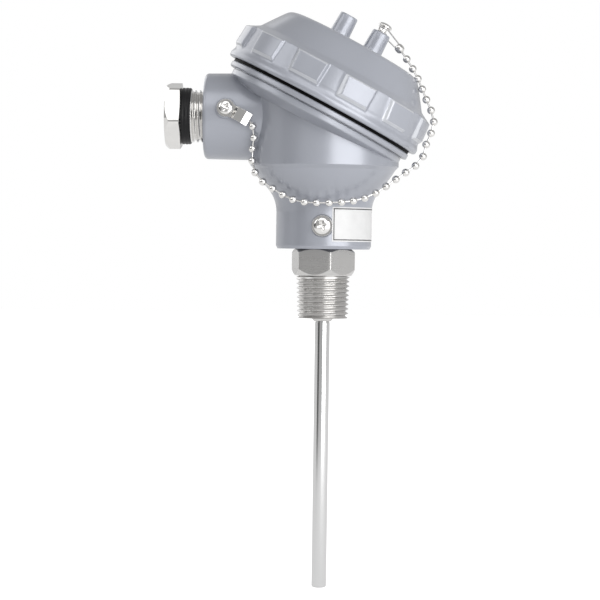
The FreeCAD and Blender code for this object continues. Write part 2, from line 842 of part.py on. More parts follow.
def build_gland_nut():
    body = new_body("gland_nut")
    crest, root = "gland_thread", "gland_thread - gland_depth"
    corners = [("gland_bore", "-gland_shank"), (f"{crest} - 0.5", "-gland_shank")]
    corners.append((crest, "-gland_shank + 0.5"))
    shown = int(size("(gland_shank - ring_thickness) / gland_pitch"))
    for turn in range(shown, 0, -1):
        corners.append((crest, f"-ring_thickness - gland_pitch * ({turn} - 0.35)"))
        corners.append((root, f"-ring_thickness - gland_pitch * ({turn} - 0.6)"))
        corners.append((crest, f"-ring_thickness - gland_pitch * ({turn} - 0.85)"))
    corners += [(crest, "-ring_thickness"), (root, "-ring_thickness"), (root, "0")]
    corners += [(crest, "1"), ("gland_bore", "1")]
    turned(body, "shank", corners)
    hex_plan = outline(body, "hex_plan", "XY_Plane", [hexagon("gland_flats", "gland_turn")])
    raised(body, "hex_head", hex_plan, "gland_hex")
    hexagon_bevel(body, "outer_bevel", "gland_flats", "gland_hex", True)
    turned(body, "cable_bore", [
        ("0", "-gland_shank - 1"),
        ("gland_bore", "-gland_shank - 1"),
        ("gland_bore", "gland_hex - 0.8"),
        ("gland_bore + 1.2", "gland_hex + 0.4"),
        ("0", "gland_hex + 0.4"),
    ], cut=True)
    along_entry(body, gland_face)


def build_gland_ring():
    body = new_body("gland_ring")
    inner = "(gland_thread - gland_depth + gland_play)"
    turned(body, "ring", [
        (inner, "-ring_thickness"),
        ("ring_radius - ring_round", "-ring_thickness"),
        ("ring_radius", "-ring_thickness + ring_round"),
        ("ring_radius", "-ring_round"),
        ("ring_radius - ring_round", "0"),
        (inner, "0"),
    ])
    along_entry(body, gland_face)


def build_gland_packing():
    outer = "gland_thread"
    packing_end = "(press_washer + grommet_length)"
    grommet = new_body("gland_grommet")
    turned(grommet, "grommet", tube("press_washer", packing_end, "grommet_bore", outer))
    along_entry(grommet, "entry_seat")
    washers = new_body("press_washers")
    sides = outline(washers, "washer_sides", "XZ_Plane", [
        tube("0", "press_washer", "gland_bore", outer),
        tube(packing_end, f"{packing_end} + press_washer", "gland_bore", outer),
    ])
    turned_about(washers, "washers", sides, "V_Axis", False)
    along_entry(washers, "entry_seat")


# Process fitting and probe

def build_process_fitting():
    body = new_body("process_fitting")
    count = int(size("thread_length / thread_pitch"))
    nipple_top = "(hex_height + nipple_length)"
    lead = "(thread_length - thread_pitch * %d) / 2" % count
    corners = [
        ("0", "-thread_length - weld_length"),
        ("sheath_radius + 0.2", "-thread_length - weld_length"),
        ("weld_radius", "-thread_length - 0.3"),
        ("weld_radius", "-thread_length"),
        ("thread_radius - thread_fall - thread_depth", "-thread_length"),
    ]
    for turn in range(count - 1, -1, -1):
        crest = f"(thread_radius - thread_fall * {turn + 0.5} / {count})"
        depth = f"-{lead} - thread_pitch * {turn}"
        corners.append((crest, f"{depth} - thread_pitch * 0.6"))
        corners.append((crest, f"{depth} - thread_pitch * 0.4"))
        corners.append((f"{crest} - thread_depth", depth))
    corners += [
        ("thread_radius - thread_depth", "0"),
        ("nipple_radius - 1", "1"),
        ("nipple_radius - 1", "hex_height + 1"),
        ("nipple_radius", "hex_height + 1"),
        ("nipple_radius", f"{nipple_top} - 1"),
        ("nipple_radius - 0.8", nipple_top),
        ("0", nipple_top),
    ]
    turned(body, "turned_core", corners)
    hex_plan = outline(body, "hex_plan", "XY_Plane", [hexagon("hex_flats", "hex_turn")])
    raised(body, "hexagon", hex_plan, "hex_height")
    hexagon_bevel(body, "upper_bevel", "hex_flats", "hex_height", True)
    hexagon_bevel(body, "lower_bevel", "hex_flats", "0", False)
    turned(body, "bore", [
        ("0", "-thread_length - weld_length - 1"),
        ("sheath_radius - sheath_fit + screw_play", "-thread_length - weld_length - 1"),
        ("sheath_radius - sheath_fit + screw_play", "nipple_floor"),
        ("nipple_bore", "nipple_floor + 1.5"),
        ("nipple_bore", f"{nipple_top} + 1"),
        ("0", f"{nipple_top} + 1"),
    ], cut=True)


def build_probe():
    # the tube is turned down to a seat from just below its weld to its upper end
    sheath = new_body("probe_sheath")
    tip = "-sheath_reach"
    bore = "(sheath_radius - sheath_wall)"
    ground_foot = "(-thread_length - weld_length - sheath_relief)"
    turned(sheath, "sheath", [
        ("0", tip),
        ("sheath_radius - tip_round", tip, "tip_round", "left"),
        ("sheath_radius", f"{tip} + tip_round"),
        ("sheath_radius", ground_foot),
        ("sheath_radius - sheath_fit", ground_foot),
        ("sheath_radius - sheath_fit", "sheath_rise"),
        (bore, "sheath_rise"),
        (bore, f"{tip} + tip_wall"),
        ("0", f"{tip} + tip_wall"),
    ])
    element_foot = f"({tip} + tip_wall + 1)"
    element_top = f"({element_foot} + element_length)"
    element = new_body("sensor_element")
    turned(element, "element", rod(element_foot, element_top, "element_radius"))
    plug_foot = "(sheath_rise - plug_length)"
    filling = new_body("sheath_filling")
    turned(filling, "powder", rod(f"{tip} + tip_wall", plug_foot, bore))
    turned(filling, "element_room", rod(element_foot, element_top, "element_radius + screw_play"),
           cut=True)
    drill_wire_holes(filling, plug_foot, f"{plug_foot} - {element_top}")
    plug = new_body("sheath_plug")
    turned(plug, "potting", rod(plug_foot, "sheath_rise", bore))
    drill_wire_holes(plug, "sheath_rise", "plug_length")
    build_lead_wires(element_top)


def wire_spots():
    half = "wire_spacing / 2"
    return [(f"{way_x}{half}", f"{way_y}{half}") for way_x in ("", "-") for way_y in ("", "-")]


def drill_wire_holes(body, level, depth):
    rings = [(x, y, "wire_radius + screw_play") for x, y in wire_spots()]
    holes = circles(body, "wire_hole_rings", "XY_Plane", rings, shift=("0", "0", level))
    sunk(body, "wire_holes", holes, depth)


def build_lead_wires(element_top):
    # up the sheath, through the block's bore and over to one terminal each
    level = size(f"{island_top} + wire_clearance")
    bend = size("wire_bend")
    radius = size("wire_radius")
    wires = []
    for x_text, y_text in wire_spots():
        foot = Vector(size(x_text), size(y_text), size(element_top))
        side_x, side_y = math.copysign(1, foot.x), math.copysign(1, foot.y)
        reach = Vector(side_x * size("(terminal_across - terminal_length) / 2 - wire_radius"),
                       side_y * size("terminal_along / 2"), level)
        corner = Vector(foot.x, foot.y, level)
        heading = (reach - corner).normalize()
        rise_end = corner - Vector(0, 0, bend)
        run_start = corner + heading * bend
        middle = corner + (heading - Vector(0, 0, 1)) * bend * (1 - math.sqrt(0.5))
        path = Part.Wire([
            Part.LineSegment(foot, rise_end).toShape(),
            Part.Arc(rise_end, middle, run_start).toShape(),
            Part.LineSegment(run_start, reach).toShape(),
        ])
        ring = Part.Wire(Part.makeCircle(radius, foot, Vector(0, 0, 1)))
        wires.append(path.makePipeShell([ring], True, False))
    chain_node("lead_wires", wires)


# Terminal block on its two seats

def build_terminal_block():
    body = new_body("terminal_block")
    base = circles(body, "base_ring", "XY_Plane", [("0", "0", "block_radius")],
                   shift=("0", "0", seat_level))
    raised(body, "base", base, "block_base")
    half_length, half_width = "island_length / 2", "island_width / 2"
    island = outline(body, "island_plan", "XY_Plane", [[
        (f"-{half_length}", f"-{half_width}"),
        (half_length, f"-{half_width}"),
        (half_length, half_width),
        (f"-{half_length}", half_width),
    ]], shift=("0", "0", block_top))
    raised(body, "island", island, "block_island")
    room_x = "(terminal_length / 2 + terminal_play)"
    room_y = "(terminal_width / 2 + terminal_play)"
    rooms = []
    for x, y in terminal_spots():
        rooms.append([(f"{x} - {room_x}", f"{y} - {room_y}"), (f"{x} + {room_x}", f"{y} - {room_y}"),
                      (f"{x} + {room_x}", f"{y} + {room_y}"), (f"{x} - {room_x}", f"{y} + {room_y}")])
    plan = outline(body, "terminal_rooms_plan", "XY_Plane", rooms, shift=("0", "0", island_top))
    sunk(body, "terminal_rooms", plan, "terminal_sink")
    bores = circles(body, "bore_rings", "XY_Plane", [
        ("0", "0", "block_bore"),
        ("0", "block_screw_place", "block_screw_radius + 0.3"),
        ("0", "-block_screw_place", "block_screw_radius + 0.3"),
    ], shift=("0", "0", island_top))
    sunk(body, "bores", bores, "block_base + block_island + 1")


def terminal_spots():
    return [(f"{way_x}terminal_across / 2", f"{way_y}terminal_along / 2")
            for way_x in ("-", "") for way_y in ("-", "")]


def build_terminals():
    # four brass blocks, each with a cable screw and a probe screw
    foot = size(f"{island_top} - terminal_sink")
    length, width, height = [size(f"terminal_{word}") for word in ("length", "width", "height")]
    shank = size("clamp_radius") * 0.7
    blocks, screws = [], []
    for x_text, y_text in terminal_spots():
        centre = Vector(size(x_text), size(y_text), foot)
        block = Part.makeBox(length, width, height, centre - Vector(length / 2, width / 2, 0))
        for side in (-1, 1):
            spot = centre + Vector(side * size("clamp_spacing") / 2, 0, height)
            drill = Part.makeCylinder(shank + size("screw_play"), height, spot, Vector(0, 0, -1))
            block = block.cut(drill)
            screws.append(clamp_screw(spot, shank, height))
        blocks.append(block)
    chain_node("terminals", blocks)
    chain_node("terminal_screws", screws)


def clamp_screw(spot, shank, reach):
    radius, height = size("clamp_radius"), size("clamp_height")
    head = Part.makeCylinder(radius, height, spot)
    stem = Part.makeCylinder(shank, reach * 0.8, spot, Vector(0, 0, -1))
    slot = Part.makeBox(2 * radius + 1, radius * 0.4, height / 2,
                        spot + Vector(-radius - 0.5, -radius * 0.2, height / 2))
    return head.fuse(stem).cut(slot).removeSplitter()


def build_block_screws():
    washers, screws = [], []
    top = size(block_top)
    thickness = size("block_washer_thickness")
    for side in (-1, 1):
        spot = Vector(0, side * size("block_screw_place"), top)
        ring = Part.makeCylinder(size("block_washer"), thickness, spot)
        hole = Part.makeCylinder(size("block_screw_radius + screw_play"), thickness, spot)
        washers.append(ring.cut(hole))
        seat = spot + Vector(0, 0, thickness)
        head = Part.makeCylinder(size("block_screw_head"), size("block_screw_height"), seat)
        reach = size("block_washer_thickness + block_base + block_screw_reach")
        shank = Part.makeCylinder(size("block_screw_radius"), reach, seat, Vector(0, 0, -1))
        slot_depth = size("block_screw_height") / 2
        width = size("slot_width")
        slot = Part.makeBox(2 * size("block_screw_head") + 1, width, slot_depth,
                            seat + Vector(-size("block_screw_head") - 0.5, -width / 2, slot_depth))
        screws.append(head.fuse(shank).cut(slot).removeSplitter())
    chain_node("block_washers", washers)
    chain_node("block_screws", screws)


build_head_body()
build_cover()
build_gasket()
build_chain_screw()
build_chain_loop()
build_chain_tab()
build_tab_screw()
build_chain()
build_neck_screw()
build_gland_nut()
build_gland_ring()
build_gland_packing()
build_process_fitting()
build_probe()
build_terminal_block()
build_terminals()
build_block_screws()
doc.recompute()

for item in doc.Objects:
    if "Invalid" in item.State or "Error" in item.State:
        raise RuntimeError(f"{item.Label} failed: {item.State}")
for item in subparts:
    if item.Shape.isNull() or not item.Shape.isValid():
        raise RuntimeError(f"{item.Label} has no valid shape")

os.makedirs("parts", exist_ok=True)
for item in subparts:
    item.Shape.exportStep(f"parts/{item.Label}.step")
    print(item.Label, len(item.Shape.Solids), "solid(s)", round(item.Shape.Volume, 1), "mm3")
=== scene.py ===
import math
import json
import bpy
import bmesh
from mathutils import Matrix, Vector


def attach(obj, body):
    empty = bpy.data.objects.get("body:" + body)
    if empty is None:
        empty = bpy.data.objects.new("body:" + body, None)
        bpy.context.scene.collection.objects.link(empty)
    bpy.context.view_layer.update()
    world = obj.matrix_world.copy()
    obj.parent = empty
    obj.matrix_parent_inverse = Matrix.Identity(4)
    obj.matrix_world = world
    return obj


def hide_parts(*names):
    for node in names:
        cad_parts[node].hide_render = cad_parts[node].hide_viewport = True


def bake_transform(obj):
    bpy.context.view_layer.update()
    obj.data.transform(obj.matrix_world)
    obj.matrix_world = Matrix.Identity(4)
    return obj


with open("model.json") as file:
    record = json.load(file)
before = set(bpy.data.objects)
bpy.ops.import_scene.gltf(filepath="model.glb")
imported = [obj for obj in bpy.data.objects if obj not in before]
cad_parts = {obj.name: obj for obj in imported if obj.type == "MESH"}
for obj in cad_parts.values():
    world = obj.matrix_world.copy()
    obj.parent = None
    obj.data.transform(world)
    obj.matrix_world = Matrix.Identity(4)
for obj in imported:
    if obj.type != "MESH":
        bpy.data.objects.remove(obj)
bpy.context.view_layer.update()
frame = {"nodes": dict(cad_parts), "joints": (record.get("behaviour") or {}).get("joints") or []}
mm = 0.001
nodes = frame["nodes"]
joints = {joint["name"]: joint for joint in frame["joints"]}
coverAxis = Vector(joints["cover_turn"]["axis"]).normalized()
sealCentre = Vector(joints["cover_turn"]["pos_m"])
print("frame loaded with", len(nodes), "nodes")


def newMaterial(name):
    material = bpy.data.materials.new(name)
    material.use_nodes = True
    tree = material.node_tree
    shader = next(node for node in tree.nodes if node.type == "BSDF_PRINCIPLED")
    return material, tree, shader


def addNode(tree, kind, inputs=None, **settings):
    node = tree.nodes.new(kind)
    for key, value in settings.items():
        setattr(node, key, value)
    for key, value in (inputs or {}).items():
        node.inputs[key].default_value = value
    return node


def maths(tree, operation, *values):
    # a maths node whose values are numbers or other nodes' outputs
    node = addNode(tree, "ShaderNodeMath", operation=operation)
    for number, value in enumerate(values):
        if isinstance(value, (int, float)):
            node.inputs[number].default_value = value
        else:
            tree.links.new(value, node.inputs[number])
    return node.outputs[0]


def objectSpace(tree, stretch):
    coordinates = addNode(tree, "ShaderNodeTexCoord")
    mapping = addNode(tree, "ShaderNodeMapping", {"Scale": stretch})
    tree.links.new(coordinates.outputs["Object"], mapping.inputs["Vector"])
    return mapping.outputs["Vector"]


def noiseField(tree, perMetre, detail=3, stretch=(1, 1, 1)):
    noise = addNode(tree, "ShaderNodeTexNoise", {"Scale": perMetre, "Detail": detail, "Roughness": 0.5})
    tree.links.new(objectSpace(tree, stretch), noise.inputs["Vector"])
    return noise.outputs["Fac"]


def spread(tree, value, low, high, fromLow=0.05, fromHigh=0.95):
    ramp = addNode(tree, "ShaderNodeMapRange", {"From Min": fromLow, "From Max": fromHigh,
                                                "To Min": low, "To Max": high})
    tree.links.new(value, ramp.inputs["Value"])
    return ramp.outputs["Result"]


def mixColour(tree, factor, first, second):
    mix = addNode(tree, "ShaderNodeMix", data_type="RGBA")
    tree.links.new(factor, mix.inputs["Factor"])
    mix.inputs["A"].default_value = (*first, 1)
    mix.inputs["B"].default_value = (*second, 1)
    return mix.outputs["Result"]


def surfaceFrom(tree, shader, tone, first, second, glossNoise, gloss):
    # colour that drifts between two tones, and gloss that drifts over its range
    tree.links.new(mixColour(tree, spread(tree, tone, 0, 1), first, second), shader.inputs["Base Color"])
    tree.links.new(spread(tree, glossNoise, *gloss), shader.inputs["Roughness"])


def bumpFrom(tree, shader, height, strength, distance, softEdge):
    bump = addNode(tree, "ShaderNodeBump", {"Strength": strength, "Distance": distance})
    tree.links.new(height, bump.inputs["Height"])
    if softEdge:
        bevel = addNode(tree, "ShaderNodeBevel", {"Radius": softEdge}, samples=6)
        tree.links.new(bevel.outputs["Normal"], bump.inputs["Normal"])
    tree.links.new(bump.outputs["Normal"], shader.inputs["Normal"])


# noise scales (clouds, patches, peel, grain) count per metre; gloss is the range of roughness
finishes = {
    "enamel": {"colour": (0.365, 0.380, 0.425), "shade": (0.340, 0.355, 0.398), "gloss": (0.27, 0.33),
               "flake": 0.25, "coat": 0.25, "coatGloss": 0.2, "clouds": 55, "patches": 240, "peel": 700,
               "depth": 0.004 * mm},
    "nickel": {"colour": (0.78, 0.77, 0.755), "gloss": (0.04, 0.10)},
    "turnedSteel": {"colour": (0.64, 0.632, 0.622), "gloss": (0.22, 0.34), "grain": 1800,
                    "stretch": (0.12, 0.12, 1), "depth": 0.006 * mm},
    "stem": {"colour": (0.68, 0.68, 0.68), "gloss": (0.08, 0.15), "grain": 2400,
             "stretch": (1, 1, 0.03), "depth": 0.003 * mm},
    "brass": {"colour": (0.62, 0.44, 0.17), "gloss": (0.18, 0.32)},
    "rubber": {"colour": (0.007, 0.007, 0.008), "gloss": (0.30, 0.48), "shine": 0.22},
    "gasket": {"colour": (0.002, 0.002, 0.002), "gloss": (0.50, 0.65), "shine": 0.06},
    "ceramic": {"colour": (0.74, 0.71, 0.63), "gloss": (0.35, 0.55), "grain": 900},
    "powder": {"colour": (0.70, 0.69, 0.66), "gloss": (0.8, 0.95), "grain": 2500},
    "resin": {"colour": (0.03, 0.03, 0.035), "gloss": (0.2, 0.35), "grain": 500, "depth": 0.01 * mm},
    "sleeve": {"colour": (0.52, 0.03, 0.025), "gloss": (0.35, 0.5), "grain": 700, "depth": 0.01 * mm},
    "labelFace": {"colour": (0.64, 0.64, 0.64), "gloss": (0.3, 0.42), "grain": 1200,
                  "depth": 0.004 * mm, "edge": 0},
    "labelRule": {"colour": (0.03, 0.03, 0.035), "gloss": (0.35, 0.5), "grain": 1200,
                  "depth": 0.004 * mm, "edge": 0},
}
# painted highlight: a lighter enamel that stands in for light catching the edges of the cover's blocks
finishes["highlightedEnamel"] = {**finishes["enamel"], "colour": (0.56, 0.575, 0.61), "shade": (0.50, 0.515, 0.55)}
anyMetal = {"clouds": 160, "patches": 420, "darker": 0.86, "grain": 2600, "stretch": (1, 1, 1),
            "depth": 0.004 * mm, "edge": 0.15 * mm}
anyStuff = {"clouds": 300, "lighter": 1.12, "lift": 0.004, "shine": 0.5, "grain": 1500,
            "depth": 0.02 * mm, "edge": 0.2 * mm}


def enamelPaint(name, finish, softEdge=0):
    facts = finishes[finish]
    material, tree, shader = newMaterial(name)
    surfaceFrom(tree, shader, noiseField(tree, facts["clouds"], 2), facts["colour"], facts["shade"],
                noiseField(tree, facts["patches"]), facts["gloss"])
    shader.inputs["Metallic"].default_value = facts["flake"]
    shader.inputs["Coat Weight"].default_value = facts["coat"]
    shader.inputs["Coat Roughness"].default_value = facts["coatGloss"]
    bumpFrom(tree, shader, noiseField(tree, facts["peel"], 2), 0.5, facts["depth"], softEdge)
    return material


def brightMetal(name, finish):
    facts = {**anyMetal, **finishes[finish]}
    stretch = facts["stretch"]
    material, tree, shader = newMaterial(name)
    shader.inputs["Metallic"].default_value = 1
    darker = tuple(part * facts["darker"] for part in facts["colour"])
    surfaceFrom(tree, shader, noiseField(tree, facts["clouds"], 3, stretch), facts["colour"], darker,
                noiseField(tree, facts["patches"], 4, stretch), facts["gloss"])
    bumpFrom(tree, shader, noiseField(tree, facts["grain"], 3, stretch), 0.5, facts["depth"], facts["edge"])
    return material


def plainStuff(name, finish):
    facts = {**anyStuff, **finishes[finish]}
    material, tree, shader = newMaterial(name)
    shader.inputs["Specular IOR Level"].default_value = facts["shine"]
    lighter = tuple(min(1, part * facts["lighter"] + facts["lift"]) for part in facts["colour"])
    surfaceFrom(tree, shader, noiseField(tree, facts["clouds"]), facts["colour"], lighter,
                noiseField(tree, facts["grain"]), facts["gloss"])
    bumpFrom(tree, shader, noiseField(tree, facts["grain"], 4), 0.6, facts["depth"], facts["edge"])
    return material


greyEnamel = enamelPaint("greyEnamel", "enamel")
castEnamel = enamelPaint("castEnamel", "enamel", 0.45 * mm)
# the lighter enamel of the painted highlight on the cover's block edges
paintedHighlightEnamel = enamelPaint("paintedHighlightEnamel", "highlightedEnamel")
brightNickel = brightMetal("brightNickel", "nickel")
turnedSteel = brightMetal("turnedSteel", "turnedSteel")
stemSteel = brightMetal("stemSteel", "stem")
blackRubber = plainStuff("blackRubber", "rubber")
gasketRubber = plainStuff("gasketRubber", "gasket")
terminalBrass = brightMetal("terminalBrass", "brass")
blockCeramic = plainStuff("blockCeramic", "ceramic")
packedPowder = plainStuff("packedPowder", "powder")
pottingResin = plainStuff("pottingResin", "resin")
leadSleeve = plainStuff("leadSleeve", "sleeve")
labelFace = plainStuff("labelFace", "labelFace")
labelRule = plainStuff("labelRule", "labelRule")
nodeFinish = {
    "head_body": castEnamel, "cover": castEnamel, "cover_gasket": gasketRubber,
    "chain_screw": brightNickel, "chain_loop": brightNickel, "chain_tab": brightNickel,
    "tab_screw": brightNickel, "lower_chain_balls": brightNickel, "lower_chain_links": brightNickel,
    "upper_chain_balls": brightNickel, "upper_chain_links": brightNickel,
    "neck_screw": brightNickel, "neck_washer": brightNickel, "gland_nut": brightNickel,
    "gland_ring": blackRubber, "gland_grommet": blackRubber, "press_washers": turnedSteel,
    "process_fitting": turnedSteel, "probe_sheath": stemSteel, "sensor_element": blockCeramic,
    "sheath_filling": packedPowder, "sheath_plug": pottingResin, "lead_wires": leadSleeve,
    "terminal_block": blockCeramic, "terminals": terminalBrass, "terminal_screws": brightNickel,
    "block_screws": turnedSteel, "block_washers": turnedSteel,
}
for name, material in nodeFinish.items():
    nodes[name].data.materials.clear()
    nodes[name].data.materials.append(material)
print("materials on", len(nodeFinish), "nodes")


def smoothMin(first, second, soft):
    share = max(0.0, min(1.0, 0.5 + 0.5 * (second - first) / soft))
    return second * (1 - share) + first * share - soft * share * (1 - share)


def smoothMax(first, second, soft):
    return -smoothMin(-first, -second, soft)


def held(value):
    return max(0.0, min(1.0, value))


def polar(radius, turn, level=0.0):
    return Vector((radius * math.cos(turn), radius * math.sin(turn), level))


def evenTurns(columns):
    return [2 * math.pi * column / columns for column in range(columns)]


def circle(radius, level, turns):
    return [polar(radius, turn, level) for turn in turns]


def gridFaces(rows, columns, closed=True):
    # quads between rows of points of one length; a closed row joins its last point to its first
    faces = []
    for row in range(rows - 1):
        for column in range(columns if closed else columns - 1):
            after = (column + 1) % columns
            low, high = row * columns, (row + 1) * columns
            faces.append((low + column, low + after, high + after, high + column))
    return faces


def ringsToMesh(rings, closedEnds=(False, False)):
    # rings are equal lists of points; an end can be closed with one flat face
    columns = len(rings[0])
    points = [point for ring in rings for point in ring]
    faces = gridFaces(len(rings), columns)
    if closedEnds[0]:
        faces.append(tuple(reversed(range(columns))))
    if closedEnds[1]:
        last = (len(rings) - 1) * columns
        faces.append(tuple(range(last, last + columns)))
    return points, faces


def lathe(profile, columns=96, closedEnds=(False, False)):
    # the profile is a row of (radius, height) in millimetres
    turns = evenTurns(columns)
    return ringsToMesh([circle(radius, height, turns) for radius, height in profile], closedEnds)


def joined(*solids):
    points, faces = [], []
    for morePoints, moreFaces in solids:
        start = len(points)
        points += morePoints
        faces += [tuple(start + corner for corner in face) for face in moreFaces]
    return points, faces


def placed(solid, matrix):
    return [matrix @ point for point in solid[0]], solid[1]


def addObject(name, mesh, materials, crease):
    for material in materials:
        mesh.materials.append(material)
    mesh.shade_smooth()
    mesh.set_sharp_from_angle(angle=math.radians(crease))
    piece = bpy.data.objects.new(name, mesh)
    bpy.context.scene.collection.objects.link(piece)
    return piece


def makePiece(name, solid, materials, body=None, stands=(), crease=35, matrix=None):
    # the solid is in millimetres and its mesh in metres
    points, faces = placed(solid, matrix) if matrix else solid
    mesh = bpy.data.meshes.new(name)
    mesh.from_pydata([point * mm for point in points], [], faces)
    shell = bmesh.new()
    shell.from_mesh(mesh)
    bmesh.ops.remove_doubles(shell, verts=shell.verts, dist=0.0005 * mm)
    bmesh.ops.dissolve_degenerate(shell, edges=shell.edges, dist=0.0005 * mm)
    bmesh.ops.recalc_face_normals(shell, faces=shell.faces)
    shell.to_mesh(mesh)
    shell.free()
    piece = addObject(name, mesh, materials, crease)
    if body:
        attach(piece, body)
    if stands:
        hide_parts(*stands)
    return piece


def facing(spot, zWay, xWay):
    # a matrix that stands local Z along zWay and local X along xWay at a spot
    zAxis = Vector(zWay).normalized()
    xAxis = (Vector(xWay) - zAxis * Vector(xWay).dot(zAxis)).normalized()
    yAxis = zAxis.cross(xAxis)
    turn = Matrix((xAxis, yAxis, zAxis)).transposed().to_4x4()
    return Matrix.Translation(Vector(spot)) @ turn


# profiles are (radius, level) in the cover's own frame, whose level 0 is the seal
cover = {
    "columnsHalf": (0, 2.4, 4.8, 6.3, 6.9, 7.3, 7.6, 7.9, 8.2, 8.5, 8.8, 9.1, 9.4, 9.8, 10.3, 11.2, 12.4,
                    13.7),  # degrees to each side of a block's middle
    "levels": (2.6, 3.2, 3.9, 4.6, 5.2, 5.7, 6.0, 6.2, 6.4, 6.55, 6.7, 6.85, 7.0, 7.15, 7.3, 7.45, 7.6,
               7.8, 8.0, 8.25, 8.6, 9.4, 10.6, 11.8, 12.8, 13.3, 13.6, 13.8, 13.95, 14.1, 14.22, 14.34,
               14.46),
    "blocks": 12, "firstBlock": 17.0, "blockRadius": 42.4, "blockTaper": 0.08, "taperFrom": 6.0,
    "faceHalf": 5.8, "leftSlope": 0.85, "rightSlope": 1.5, "blocksFrom": 4.5, "footLevel": 5.0,
    "footRadius": 41.2, "footSlope": 0.9, "topLevel": 14.8, "topSlope": 1.7, "softEdge": 0.4,
    "softRoot": 0.4, "drumRadius": 40.3, "drumProud": 0.1, "drumDraft": 0.7, "drumFoot": 6.4,
    "drumTop": 14.2, "sweepFrom": 2.6, "sweepRadius": 42.0, "sweepFall": 0.9, "sweepHollow": 0.3,
    "skirt": ((36.5, 13.0), (36.5, 6.0), (36.5, 0.9), (36.8, 0.6), (41.0, 0.6), (41.5, 0.68), (41.85, 0.98),
              (42.0, 1.4), (42.03, 2.0)),
    "dome": ((40.28, 14.6), (40.1, 14.78), (39.7, 14.98), (38.6, 15.55), (37.6, 16.1), (36.9, 16.5),
             (36.5, 16.85), (36.2, 17.2), (35.2, 18.6), (33.4, 21.1), (31.4, 23.85), (30.1, 25.6),
             (29.5, 26.3), (28.8, 26.9), (27.9, 27.35), (26.8, 27.62), (24.0, 27.74), (18.0, 27.86),
             (10.0, 27.95), (3.0, 28.0)),
    "ceiling": ((3.0, 24.8), (26.4, 24.4), (36.5, 13.0)),
    "post": ((5.2, 27.2), (4.95, 27.9), (4.6, 28.12), (4.3, 28.45), (4.14, 28.95), (4.05, 30.5),
             (3.9, 33.8), (3.77, 36.55), (3.68, 36.9), (3.48, 37.13), (3.2, 37.2)),
    "postOffset": 7.3, "postTop": 37.2,
    # where the painted highlight goes on the blocks: levels, least reach, and limits on the faces' outward and
    # rightward slant
    "highlightLevels": (5.2, 14.3), "highlightFrom": 40.8, "highlightOutward": (0.35, 0.95), "highlightRightward": 0.2,
}
coverFrame = facing(sealCentre / mm, coverAxis, (coverAxis.z, 0, -coverAxis.x))


def drumRadiusAt(level):
    # concave sweep from the lip up to the drum, then almost straight
    facts = cover
    if level >= facts["drumFoot"]:
        share = max(0.0, (facts["drumTop"] - level) / (facts["drumTop"] - facts["drumFoot"]))
        return facts["drumRadius"] + facts["drumProud"] + facts["drumDraft"] * share
    share = (level - facts["sweepFrom"]) / (facts["drumFoot"] - facts["sweepFrom"])
    return facts["sweepRadius"] - facts["sweepFall"] * share - facts["sweepHollow"] * math.sin(math.pi * share)


def blockRadiusAt(turn, level):
    facts = cover
    pitch = 2 * math.pi / facts["blocks"]
    local = (turn - math.radians(facts["firstBlock"]) + pitch / 2) % pitch - pitch / 2
    across = abs(facts["blockRadius"] * math.sin(local))
    slope = facts["leftSlope"] if local < 0 else facts["rightSlope"]
    side = facts["blockRadius"] - (across - facts["faceHalf"]) * slope
    foot = facts["footRadius"] + (level - facts["footLevel"]) * facts["footSlope"]
    top = facts["drumRadius"] + (facts["topLevel"] - level) * facts["topSlope"]
    face = facts["blockRadius"] - max(0.0, level - facts["taperFrom"]) * facts["blockTaper"]
    soft = facts["softEdge"]
    return smoothMin(smoothMin(smoothMin(side, face, soft), foot, soft), top, soft)


def coverTurns():
    half = [math.radians(step) for step in cover["columnsHalf"]]
    pitch = 2 * math.pi / cover["blocks"]
    turns = []
    for block in range(cover["blocks"]):
        centre = math.radians(cover["firstBlock"]) + block * pitch
        turns += [centre - step for step in reversed(half[1:])] + [centre + step for step in half]
        turns.append(centre + pitch / 2)
    return turns


def gripRing(level, turns):
    radii = [drumRadiusAt(level)] * len(turns)
    if level > cover["blocksFrom"]:
        radii = [smoothMax(radius, blockRadiusAt(turn, level), cover["softRoot"])
                 for radius, turn in zip(radii, turns)]
    return [polar(radius, turn, level) for radius, turn in zip(radii, turns)]


def paintBlockHighlights(piece):
    # painted highlight: the slanted faces of the blocks that do not face right (their left sides, feet and
    # tops) get a lighter enamel where light would catch them
    facts = cover
    back = coverFrame.inverted()
    for polygon in piece.data.polygons:
        spot = back @ (polygon.center / mm)
        way = back.to_3x3() @ polygon.normal
        reach = math.hypot(spot.x, spot.y)
        outward = (way.x * spot.x + way.y * spot.y) / max(reach, 0.001)
        rightward = (way.y * spot.x - way.x * spot.y) / max(reach, 0.001)
        onBlock = facts["highlightLevels"][0] < spot.z < facts["highlightLevels"][1] and reach > facts["highlightFrom"]
        slanted = facts["highlightOutward"][0] < outward < facts["highlightOutward"][1]
        if onBlock and slanted and rightward < facts["highlightRightward"]:
            polygon.material_index = 1


def buildCover():
    facts = cover
    turns = coverTurns()
    rings = [circle(radius, level, turns) for radius, level in facts["skirt"]]
    rings += [gripRing(level, turns) for level in facts["levels"]]
    rings += [circle(radius, level, turns) for radius, level in facts["dome"]]
    outside = ringsToMesh(rings, (False, True))
    ceiling = ringsToMesh([circle(radius, level, turns) for radius, level in facts["ceiling"]], (True, False))
    posts = [placed(lathe(facts["post"], 48, (True, True)), Matrix.Translation((offset, 0, 0)))
             for offset in (-facts["postOffset"], facts["postOffset"])]
    # the second material is the lighter enamel of the painted highlight
    piece = makePiece("screwCover", joined(outside, ceiling, *posts), [greyEnamel, paintedHighlightEnamel], "cover",
                      ["cover"], 50, coverFrame)
    # paints the highlight on the blocks' left sides, feet and tops
    paintBlockHighlights(piece)


buildCover()
print("cover built")

